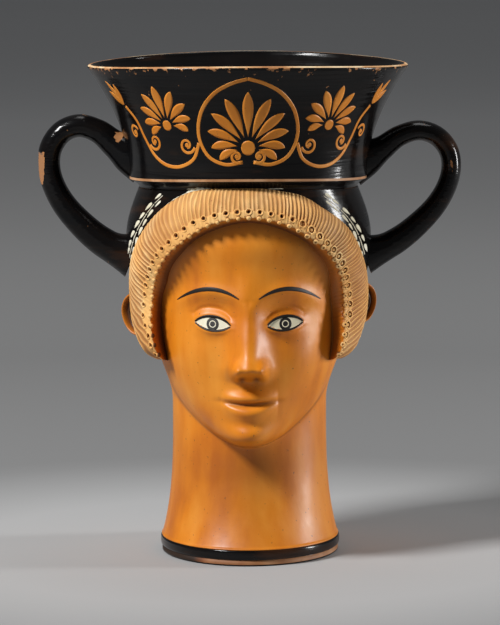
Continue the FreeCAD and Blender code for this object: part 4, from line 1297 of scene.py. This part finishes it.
def make_ear(side):
    """An ear with a rolled rim, an inner ridge, a deep hollow and a lobe."""
    splay = math.radians(EAR_SPLAY)
    outward = np.array([side * math.cos(splay), math.sin(splay), 0])
    facing = np.array([side * math.sin(splay), -math.cos(splay), 0])
    up = np.array([0, 0, 1.0])
    hand = 0 if side < 0 else 1
    height, length, reach = EAR_HEIGHTS[hand], EAR_LENGTHS[hand], EAR_REACHES[hand]
    root = float(skull_half_width(height)) - EAR_ROOT_SINK
    centre = np.array([side * root, EAR_SETBACK, height]) + 0.3 * reach * outward
    turns = np.linspace(0, 2 * math.pi, 97)[:-1]
    shares = np.concatenate([[0.02], np.linspace(0.06, 1, 32)])
    front = np.zeros((len(shares), len(turns), 3))
    back = np.zeros_like(front)
    shade = np.zeros((2 * len(shares), len(turns)))
    for i, share in enumerate(shares):
        narrow = 1 - 0.22 * (1 - np.cos(turns)) / 2
        out = 0.7 * reach * share * np.sin(turns) * narrow
        rise = length / 2 * share * np.cos(turns)
        rim = EAR_RIM * bump(share - 0.88, 0.11)
        ridge = EAR_RIDGE * bump(share - 0.52, 0.1) * smoothstep(0.3 + np.sin(turns))
        hollow = -EAR_HOLLOW * bump(share, 0.4) - EAR_GROOVE * bump(share - 0.7, 0.09)
        lobe = EAR_LOBE * bump(share - 0.75, 0.22) * smoothstep(-np.cos(turns) - 0.5)
        edge = math.sqrt(max(0.0, 1 - share**8))
        thick = EAR_THICKNESS / 2 * edge
        plane = centre + out[:, None] * outward + rise[:, None] * up
        front[i] = plane + facing * ((rim + ridge + hollow + lobe) * edge + thick)[:, None]
        back[i] = plane - facing * np.full(len(turns), thick + 0.5 * rim * edge)[:, None]
        # Painted shade: a little over the whole ear, and near black deep in its hollow
        shade[i] = 0.22 + 0.7 * smoothstep((0.84 - share) / 0.16)
    ear = Clay("ear_l" if side < 0 else "ear_r")
    ear.add_capped(np.concatenate([front, back[::-1]]), shade)
    ear.make([ORANGE], ["ear_left" if side < 0 else "ear_right"])


# Handles


def handle_path(hand):
    """(outward, height, thickness share) along one handle, from inside the cup's wall to the head."""
    low = WAIST_HEIGHT - HANDLE_LOWER_ROOT_DROP
    top = CARINATION_HEIGHT + HANDLE_TOP_RISES[hand]
    upper_root = CARINATION_HEIGHT + HANDLE_UPPER_ROOT_RISES[hand]
    inner = float(skull_half_width(low))
    route = []
    for out, rise, thickness in HANDLE_PATH_SHARES:
        route.append((blend(inner, HANDLE_REACHES[hand], out), blend(low, top, rise), thickness))
    root = np.array([float(cup_radius(upper_root)), upper_root])
    inward = root - route[1][:2]
    inward /= np.linalg.norm(inward)
    route[0] = (*root, route[0][2])
    route.insert(0, (*(root + HANDLE_ROOT_RUN * inward), 1.15 * route[0][2]))
    route[-1] = (inner - HANDLE_ROOT_SINK, low, route[-1][2])
    return spline(route, 170)


def make_handle(side):
    """A rolled loop whose upper root spreads over the cup's wall."""
    hand = 0 if side < 0 else 1
    path = handle_path(hand)
    tangent = np.gradient(path[:, :2], axis=0)
    tangent /= np.linalg.norm(tangent, axis=1, keepdims=True)
    turns = np.linspace(0, 2 * math.pi, 61)[:-1]
    rings = np.zeros((len(path), len(turns), 3))
    for i, (x, z, thickness) in enumerate(path):
        half = HANDLE_THICKNESSES[hand] * thickness / 2
        deep = HANDLE_DEPTH * (1 + 0.25 * (thickness - 1)) / 2
        along, upward = tangent[i]
        rings[i, :, 0] = x - upward * half * np.cos(turns)
        rings[i, :, 1] = deep * np.sin(turns)
        rings[i, :, 2] = z + along * half * np.cos(turns)
    share = np.linspace(0, 1, len(path))[:, None]
    wear = 0.25 * smoothstep(2 * np.cos(turns)[None, :] - 1) + 0 * share
    if side < 0:
        turn = math.radians(CHIP_TURN)
        proud = rings[..., 0] * math.cos(turn) - rings[..., 1] * math.sin(turn) - CHIP_REACH
        chipped = (proud > 0) & (np.abs(rings[..., 2] - CHIP_HEIGHT) < CHIP_LENGTH / 2)
        rings[..., 0] -= np.where(chipped, proud * math.cos(turn), 0.0)
        rings[..., 1] += np.where(chipped, proud * math.sin(turn), 0.0)
        wear = np.where(chipped, CHIP_WEAR, wear)
        at_root = bump(share - 0.15, 0.02, 4.0) * bump(turns - 1.75 * math.pi, 0.4)[None, :]
        wear = wear + FLECK_WEAR * at_root
    else:
        in_front = bump(turns - 1.5 * math.pi, 0.2)[None, :] * (rings[..., 0] > FLECK_REACH)
        wear = wear + FLECK_WEAR * in_front * bump(rings[..., 2] - FLECK_HEIGHT, FLECK_LENGTH)
    reach = np.hypot(rings[..., 0], rings[..., 1])
    bite = cup_wall_radius(rings[..., 2]) - HANDLE_ROOT_BITE
    sunk = (reach < bite) & (share < HANDLE_ROOT_SHARE)
    stretch = np.where(sunk, bite / np.maximum(reach, 1e-6), 1.0)
    rings[..., 0] *= side * stretch
    rings[..., 1] *= stretch
    handle = Clay("handle_l" if side < 0 else "handle_r")
    handle.add_capped(rings, wear)
    nodes = ["handle_left" if side < 0 else "handle_right"]
    handle.make([BLACK], nodes, "wear")


# Foot


def make_foot():
    """Oval moulding: a reserved step below, a glossy black band above."""
    hollow_width = float(skull_half_width(FOOT_HEIGHT)) - HEAD_WALL
    hollow_depth = float(skull_back_depth(FOOT_HEIGHT)) - HEAD_WALL
    # The lowest strip of the step takes the black slip, a painted contact shadow
    profile = [
        (FOOT_STEP + FOOT_ARRIS, 0.0, 0),
        (FOOT_STEP, FOOT_ARRIS_HEIGHT, 0),
        (FOOT_STEP, FOOT_SHADOW_LINE_TOP, 1),
        (FOOT_STEP, FOOT_STEP_HEIGHT, 1),
    ]
    for turn in np.linspace(-1, 1, 15):
        inset = FOOT_BULGE * (1 - math.sqrt(max(0.0, 1 - abs(turn) ** 3)))
        profile.append((inset, blend(FOOT_STEP_HEIGHT, FOOT_HEIGHT, (turn + 1) / 2), 0))
    angles = np.linspace(0, 2 * math.pi, 193)[:-1]

    def oval(half_width, half_depth, height):
        level = np.full(len(angles), height)
        return np.stack([half_width * np.sin(angles), -half_depth * np.cos(angles), level], axis=-1)

    rows = [oval(FOOT_HALF_WIDTH - inset, FOOT_HALF_DEPTH - inset, height) for inset, height, _ in profile]
    rows += [oval(hollow_width, hollow_depth, height) for height in (FOOT_HEIGHT, 0.0)]
    foot = Clay("foot_moulding")
    left = np.degrees(np.where(angles > math.pi, angles - 2 * math.pi, angles))
    slipped = smoothstep((-left - 20) / 30) + smoothstep((left - 100) / 30)
    # Painted shade on the whole ring, and darker again towards the -X side and the back, where black slip
    # runs over it
    shade = np.zeros((len(rows), len(angles))) + np.clip(0.3 + slipped, 0, 1)
    foot.add_ring(np.array(rows), [slot for _, _, slot in profile] + [2, 2], shade)
    foot.make([BLACK, RESERVED_LINE, INSIDE], ["foot_ring"])


# Painted forms: thin bodies that lie on the clay


def ribbon(on_surface, centre, half_width, columns=5, rows=None):
    """Top and bottom grids of a band along a (u, v) line, on a surface given as f(u, v, lift)."""
    line = np.asarray(centre, float)
    if rows:
        line = spline(line, rows)
    run = np.gradient(line, axis=0)
    run /= np.maximum(1e-9, np.linalg.norm(run, axis=1, keepdims=True))
    side = np.stack([-run[:, 1], run[:, 0]], axis=1)
    width = np.maximum(0.03, half_width(np.linspace(0, 1, len(line))))
    offsets = np.linspace(-1, 1, columns)
    grid = line[:, None, :] + side[:, None, :] * (width[:, None] * offsets[None, :])[..., None]
    return [on_surface(grid[..., 0], grid[..., 1], lift) for lift in (None, -PAINT_ROOT)]


def even(width):
    return lambda t: width * np.ones_like(t)


def leaf_shape(width, fullest=0.62):
    """Widest past the middle, pointed at the stem and rounded at the tip."""
    def half_width(t):
        power = math.log(0.5) / math.log(fullest)
        return width * np.sin(math.pi * np.clip(t, 0, 1) ** power) ** 0.75
    return half_width


def round_shape(radius):
    return lambda t: radius * np.sqrt(np.clip(1 - (2 * t - 1) ** 2, 0.0, 1.0))


class Panel:
    """Ornament drawn in millimetres across and up, on one side of the cup."""

    def __init__(self, clay, facing):
        self.clay = clay
        self.facing = facing

    def surface(self, across, up, lift):
        angle = self.facing + across / FRIEZE_RADIUS
        return cup_points(angle, up, PAINT_FILM if lift is None else lift)

    def stroke(self, centre, half_width, rows=None, columns=5, mirrors=(1, -1)):
        for mirror in mirrors:
            line = [(mirror * x, y) for x, y in centre]
            self.clay.paint(self.surface, line, half_width, columns, rows)

    def spiral(self, centre, start, turns, outer, inner, width, hand):
        """A tendril's curl; hand is 1 to run anticlockwise."""
        line = []
        for t in np.linspace(0, 1, 46):
            turn = start + hand * turns * 2 * math.pi * t
            radius = blend(outer, inner, t**0.8)
            line.append((centre[0] + radius * math.cos(turn), centre[1] + radius * math.sin(turn)))
        self.stroke(line, lambda t: width * (1 - 0.35 * t))
        eye = [(centre[0] - 1.5 * width + 3 * width * t, centre[1]) for t in np.linspace(0, 1, 9)]
        self.stroke(eye, round_shape(1.5 * width), columns=7)

    def palmette(self, heart, aim_at, petals, spread, length, end_length, width, mirrors=(1, -1)):
        """A fan of petals round a small core. Angles are in degrees from straight up."""
        for i in range(petals):
            share = 2 * i / (petals - 1) - 1
            turn = math.radians(aim_at + spread * share)
            reach = blend(length, end_length, abs(share) ** 1.3)
            bend = math.radians(12) * share
            line = []
            for t in np.linspace(0, 1, 15):
                r = blend(0.2 * length, reach, t)
                a = turn + bend * t * t
                line.append((heart[0] + r * math.sin(a), heart[1] + r * math.cos(a)))
            self.stroke(line, leaf_shape(width * blend(1.0, 0.8, abs(share))), mirrors=mirrors)
        level, radius = math.radians(aim_at), 0.13 * length
        core = [
            (heart[0] + radius * c * math.cos(level), heart[1] - radius * c * math.sin(level))
            for c in np.linspace(-1, 1, 13)
        ]
        self.stroke(core, round_shape(radius), columns=9, mirrors=mirrors)


FRIEZE_RADIUS = 50.4
HEART_HEIGHT = 160.0
SIDE_HEART = (33.0, 169.0)
TENDRIL_HALF_WIDTH = 0.68
# The line over the middle palmette, and the stem from its foot out to the bud
OVER_PALMETTE = [
    (2.2, 154.4),
    (9.5, 153.6),
    (16.5, 157.0),
    (19.6, 164.5),
    (17.6, 173.5),
    (11.8, 181.2),
    (5.2, 185.4),
    (0.0, 187.2),
]
BUD_STEM = [
    (19.9, 162.0),
    (23.0, 155.8),
    (29.5, 152.9),
    (37.0, 153.6),
    (43.5, 157.6),
    (47.4, 164.0),
    (49.6, 171.0),
    (53.4, 176.4),
]
# Each curl's centre, start in degrees, turns, outer and inner radius, half width and hand
TENDRIL_CURLS = [
    ((4.6, 156.6), -130, 1.15, 2.7, 0.9, 0.6, 1),
    ((25.4, 161.2), -165, 1.2, 3.6, 1.0, 0.6, 1),
    ((41.4, 162.6), -20, 1.2, 3.6, 1.0, 0.6, -1),
    ((53.6, 166.2), 160, 1.1, 3.1, 0.9, 0.55, -1),
]
# The bud's foot and lean in degrees, and each petal's own lean and length
BUD_FOOT = (54.0, 177.0)
BUD_LEAN = 26
BUD_PETALS = ((-24, 9.5), (0, 12.0), (24, 9.5))
BUD_HALF_WIDTH = 1.35


def make_frieze(name, facing):
    """Upright palmette between tendrils, side palmettes and lotus buds, mirrored about the middle."""
    frieze = Clay(name)
    panel = Panel(frieze, facing)
    panel.palmette((0, HEART_HEIGHT), 0, 11, 100, 22.0, 12.5, 2.0, mirrors=(1,))
    panel.stroke(OVER_PALMETTE, even(TENDRIL_HALF_WIDTH), rows=60)
    panel.stroke(BUD_STEM, even(TENDRIL_HALF_WIDTH), rows=70)
    for centre, start, *curl in TENDRIL_CURLS:
        panel.spiral(centre, math.radians(start), *curl)
    panel.palmette(SIDE_HEART, 4, 9, 96, 15.5, 9.5, 1.75)
    for lean, length in BUD_PETALS:
        turn = math.radians(BUD_LEAN + lean)
        run, rise = length * math.sin(turn), 0.86 * length * math.cos(turn)
        petal = [(BUD_FOOT[0] + run * t, BUD_FOOT[1] + rise * t) for t in np.linspace(0, 1, 15)]
        panel.stroke(petal, leaf_shape(BUD_HALF_WIDTH, 0.5))
    frieze.make([FIGURE])


NAPE_HEIGHT = 52.0
HAIR_EAR_HEIGHT = 88.0
HAIR_EAR_ANGLE = 84.0
HAIR_NAPE_ANGLE = 140.0


def hair_edge(side):
    """Angles and heights of the black hair's edge on one side, from the nape up under the fringe."""
    rise = np.linspace(0, 1, 26)[:-1]
    fall = np.arccos(1 - 2 * rise) / math.pi
    low_angles = side * np.radians(blend(HAIR_NAPE_ANGLE, HAIR_EAR_ANGLE, fall))
    low_heights = blend(NAPE_HEIGHT, HAIR_EAR_HEIGHT, rise)
    above = OUTER_ARCH[1][::-5] > HAIR_EAR_HEIGHT
    along = np.linspace(1, 0, ARCH_STEPS + 1)[::5][above]
    high_angles, high_heights = fringe_place(side * along, 0.06)
    last = side * math.radians(0.4)
    angles = np.concatenate([low_angles, high_angles[:-1], [last, last]])
    return angles, np.concatenate([low_heights, high_heights, [WAIST_HEIGHT]])


def make_black_hair():
    """The gloss slip on crown, sides and nape, a film with a crisp edge."""
    right, left = hair_edge(1), hair_edge(-1)
    share = np.linspace(0, 1, 121)[None, :]
    turn = blend(right[0][:, None], 2 * math.pi + left[0][:, None], share)
    rows = blend(right[1][:, None], left[1][:, None], share)
    hair = Clay("black_hair")
    hair.add_slab(head_points(turn, rows, SLIP_FILM), head_points(turn, rows, -PAINT_ROOT))
    hair.make([BLACK])


WREATH_GAP_TOP = 4.2
WREATH_GAP_LOW = 0.8
WREATH_PITCH = 4.1
WREATH_LOW = 113.0
WREATH_BACK_HEIGHT = 127.0
WREATH_BACK_DROP = 6.5
WREATH_BACK_ANGLE = 102.0
WREATH_STEM_HALF_WIDTH = 0.12
WREATH_START = 0.8
WREATH_WANDER = 0.35
LEAF_LENGTH = 3.5
LEAF_UNEVENNESS = 0.12
# How far out from the stem each row's leaves start, how far along, how they lean, and their half width
LEAF_ROWS = ((1.1, 0.0, 0.1, 0.58), (-1.05, 1.7, -0.05, 0.44))


def wreath_lines(side):
    """The stem as chains of (angle, height): beside the fringe, and from the back's middle."""
    along = np.linspace(0, 1, 400)
    edge = fringe_points(side * along, np.array(0.0))[:, [0, 2]]
    gap = blend(WREATH_GAP_TOP, WREATH_GAP_LOW, smoothstep((along - 0.25) / 0.35))[:, None]
    run = np.gradient(edge, axis=0)
    run /= np.linalg.norm(run, axis=1, keepdims=True)
    line = edge + side * gap * np.stack([-run[:, 1], run[:, 0]], axis=1)
    heights = line[:, 1] - saddle(0.5, line[:, 1])
    angles = np.arcsin(np.clip(line[:, 0] / (skull_half_width(heights) + SLIP_FILM), -0.99, 0.99))
    kept = (heights < WAIST_HEIGHT - 1.5) & (heights > WREATH_LOW)
    share = np.linspace(0, 1, 80)
    back_angles = side * np.radians(blend(180.0, WREATH_BACK_ANGLE, share))
    back_heights = WREATH_BACK_HEIGHT - WREATH_BACK_DROP * share**2
    return np.stack([angles, heights], axis=1)[kept], np.stack([back_angles, back_heights], axis=1)


def foreshortened(angle):
    """How much wider a form is painted at this angle, so that it looks as wide from the front."""
    return 1 / max(0.42, abs(math.cos(angle)))


def painted_near(angle, height):
    """A surface for small painted forms, in millimetres across and up from one place."""
    stretch = foreshortened(angle)

    def surface(across, up, lift):
        turned = angle + stretch * across / HEAD_HALF_WIDTH
        return head_points(turned, height + up, SLIP_FILM + (PAINT_FILM if lift is None else lift))

    return surface


def make_wreath():
    """Two rows of added white leaves along a thin stem, round the black hair."""
    wreath = Clay("wreath")
    for side in (-1, 1):
        for number, line in enumerate(wreath_lines(side)):
            face_on = np.cos(line[1:, 0]) if number == 0 else 1.0
            flat = np.diff(line, axis=0) * (HEAD_HALF_WIDTH, 1)
            reach = np.concatenate([[0], np.cumsum(np.hypot(flat[:, 0] * face_on, flat[:, 1]))])
            for i in range(int((reach[-1] - 1.0) / WREATH_PITCH)):
                at = WREATH_START + i * WREATH_PITCH + WREATH_WANDER * math.sin(4.1 * i + number + side)
                start, end = [
                    np.array([np.interp(place, reach, line[:, 0]), np.interp(place, reach, line[:, 1])])
                    for place in (at, at + WREATH_PITCH)
                ]
                surface = painted_near(*start)
                step = (end - start) * (HEAD_HALF_WIDTH / foreshortened(start[0]), 1)
                along = step / np.linalg.norm(step)
                out = side * np.array([-along[1], along[0]]) * (1 if number == 0 else -1)
                size = 1 + LEAF_UNEVENNESS * math.sin(3.3 * i + 2 * number + side)
                stem = [along * t for t in np.linspace(0, WREATH_PITCH, 7)]
                wreath.paint(surface, stem, even(WREATH_STEM_HALF_WIDTH), 3)
                for outward, onward, lean, width in LEAF_ROWS:
                    base = outward * out + onward * along
                    run = [base + (along + lean * out) * t for t in np.linspace(0, LEAF_LENGTH * size, 11)]
                    wreath.paint(surface, run, leaf_shape(width * size, 0.3))
    wreath.make([WHITE])


# Painted lines of the face: half widths, the iris and its ring, and each layer's thickness
BROW_PAINT = 0.8
BROW_PAINT_RISE = 1.0
IRIS_RADIUS = 2.35
IRIS_RISE = 0.15
RING_RADIUS = 1.15
RING_PAINT = 0.17
WHITE_FILM = 0.06
BROW_FILM = 0.08
IRIS_FILM = 0.11
LINE_FILM = 0.16


def make_face_paint():
    """Brows, rims of the eyes, whites and irises."""
    black = Clay("face_lines")
    white = Clay("eye_whites")
    ring = Clay("iris_rings")

    def on_face(lift_up):
        def surface(x, height, lift):
            return front_points(x, height, lift_up if lift is None else lift)
        return surface

    half = EYE_WIDTH / 2
    for side in (-1, 1):
        middle = side * EYE_WIDTH
        xs = middle + side * np.linspace(-0.97, 0.97, 41) * half
        share = np.linspace(0, 1, 15)
        low, high = lid_line(xs, False), lid_line(xs, True)
        height = blend(low[:, None], high[:, None], share[None, :])
        across = np.broadcast_to(xs[:, None], height.shape)
        white.add_slab(*[on_face(WHITE_FILM)(across, height, lift) for lift in (None, -PAINT_ROOT)])
        rim = on_face(LINE_FILM)
        for edge, least, swell in ((high, 0.26, 0.3), (low, 0.2, 0.18)):
            lid = np.stack([xs, edge], axis=1)
            black.paint(rim, lid, lambda t: least + swell * np.sin(math.pi * t) ** 0.5)
        centre = EYE_HEIGHT + IRIS_RISE
        iris = [(middle + IRIS_RADIUS * c, centre) for c in np.linspace(-1, 1, 25)]
        black.paint(on_face(IRIS_FILM), iris, round_shape(IRIS_RADIUS), columns=13)
        circle = [
            (middle + RING_RADIUS * math.cos(a), centre + RING_RADIUS * math.sin(a))
            for a in np.linspace(0, 2 * math.pi * 0.995, 49)
        ]
        ring.paint(rim, circle, even(RING_PAINT))
        brow_x = middle + side * np.linspace(-0.74, 1.0, 45) * 0.98 * EYE_WIDTH
        brow = np.stack([brow_x, brow_line(brow_x) + BROW_PAINT_RISE], axis=1)
        black.paint(
            on_face(BROW_FILM), brow, lambda t: BROW_PAINT * np.sin(math.pi * (0.06 + 0.9 * t)) ** 0.8
        )
    black.make([PAINT])
    white.make([WHITE])
    ring.make([WHITE])


make_cup()
make_frieze("frieze_front", 0.0)
make_frieze("frieze_back", math.pi)
make_head()
make_black_hair()
make_wreath()
make_waist_filler()
make_edge_filler()
make_face_paint()
make_fringe()
make_outer_curls()
make_inner_curls()
for hand in (-1, 1):
    make_ear(hand)
    make_handle(hand)
make_foot()
for node in ("foot_floor", "seam_coils", "waist_coil"):
    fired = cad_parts[node]
    fired.data.materials.clear()
    fired.data.materials.append(INSIDE)


# Stage, light and camera

# Places and lengths of the stage are in metres
FLOOR_RADIUS = 9.0
# Painted light and shade on the floor, as a tone for each share of this distance from the vase: a pale pool
# about the vase and a darker ring round it
FLOOR_FADE = 5.0
FLOOR_TONES = ((0.0, 0.4), (0.024, 0.38), (0.045, 0.21), (0.12, 0.23), (0.24, 0.4), (0.5, 0.7), (1.0, 0.78))


def make_stage():
    """A wide round floor with painted light and shade: pale about the vase, darker round that and pale
    again far away.
    """
    turns = np.linspace(0, 2 * math.pi, 129)[:-1]
    points = [(FLOOR_RADIUS * math.cos(t), FLOOR_RADIUS * math.sin(t), 0.0) for t in turns]
    mesh = bpy.data.meshes.new("floor")
    mesh.from_pydata(points, [], [tuple(range(len(points)))])
    paper = Finish("studio_paper")
    away = paper.nodes.new("ShaderNodeVectorMath")
    away.operation = "LENGTH"
    paper.links.new(paper.nodes.new("ShaderNodeTexCoord").outputs["Object"], away.inputs[0])
    place = paper.spread(away.outputs["Value"], 0.0, FLOOR_FADE)
    paper.feed("Base Color", paper.ramp(place, [(at, (tone, tone, tone)) for at, tone in FLOOR_TONES]))
    paper.set("Roughness", 0.9)
    mesh.materials.append(paper.material)
    floor = bpy.data.objects.new("floor", mesh)
    bpy.context.scene.collection.objects.link(floor)


def aim(thing, target):
    direction = Vector(target) - thing.location
    thing.rotation_euler = direction.to_track_quat("-Z", "Y").to_euler()


# Each lamp's name, place, size and power; all of them are aimed at the vase's middle
LAMPS = (
    ("key", (-0.9, -0.6, 1.12), (0.3, 0.3), 26),
    ("strip", (1.3, 0.1, 0.3), (0.14, 0.6), 13),
    ("top", (0.1, 0.3, 1.1), (0.6, 0.4), 2),
)
LAMP_TARGET = (0, 0, 0.1)
WORLD_COLOUR = (0.9, 0.92, 0.95, 1)
WORLD_STRENGTH = 0.1


def make_light():
    world = bpy.data.worlds.new("studio")
    world.use_nodes = True
    background = world.node_tree.nodes["Background"]
    background.inputs["Color"].default_value = WORLD_COLOUR
    background.inputs["Strength"].default_value = WORLD_STRENGTH
    bpy.context.scene.world = world
    for name, place, size, power in LAMPS:
        data = bpy.data.lights.new(name, "AREA")
        data.shape = "RECTANGLE"
        data.size, data.size_y = size
        data.energy = power
        lamp = bpy.data.objects.new(name, data)
        lamp.location = place
        bpy.context.scene.collection.objects.link(lamp)
        aim(lamp, LAMP_TARGET)


CAMERA_DISTANCE = 1.465
CAMERA_HEIGHT = 0.265
AIM_POINT = (0.0004, 0.0, 0.0929)
CAMERA_LENS = 217.8
CAMERA_ROLL = 0.28
SENSOR_HEIGHT = 36.0


def make_camera():
    data = bpy.data.cameras.new("camera")
    data.sensor_fit = "VERTICAL"
    data.sensor_height = SENSOR_HEIGHT
    data.lens = CAMERA_LENS
    camera = bpy.data.objects.new("camera", data)
    camera.location = (0.0, -CAMERA_DISTANCE, CAMERA_HEIGHT)
    bpy.context.scene.collection.objects.link(camera)
    aim(camera, AIM_POINT)
    camera.rotation_euler.rotate_axis("Z", -math.radians(CAMERA_ROLL))
    bpy.context.scene.camera = camera


make_stage()
make_light()
make_camera()
bpy.context.scene.view_settings.view_transform = "Standard"
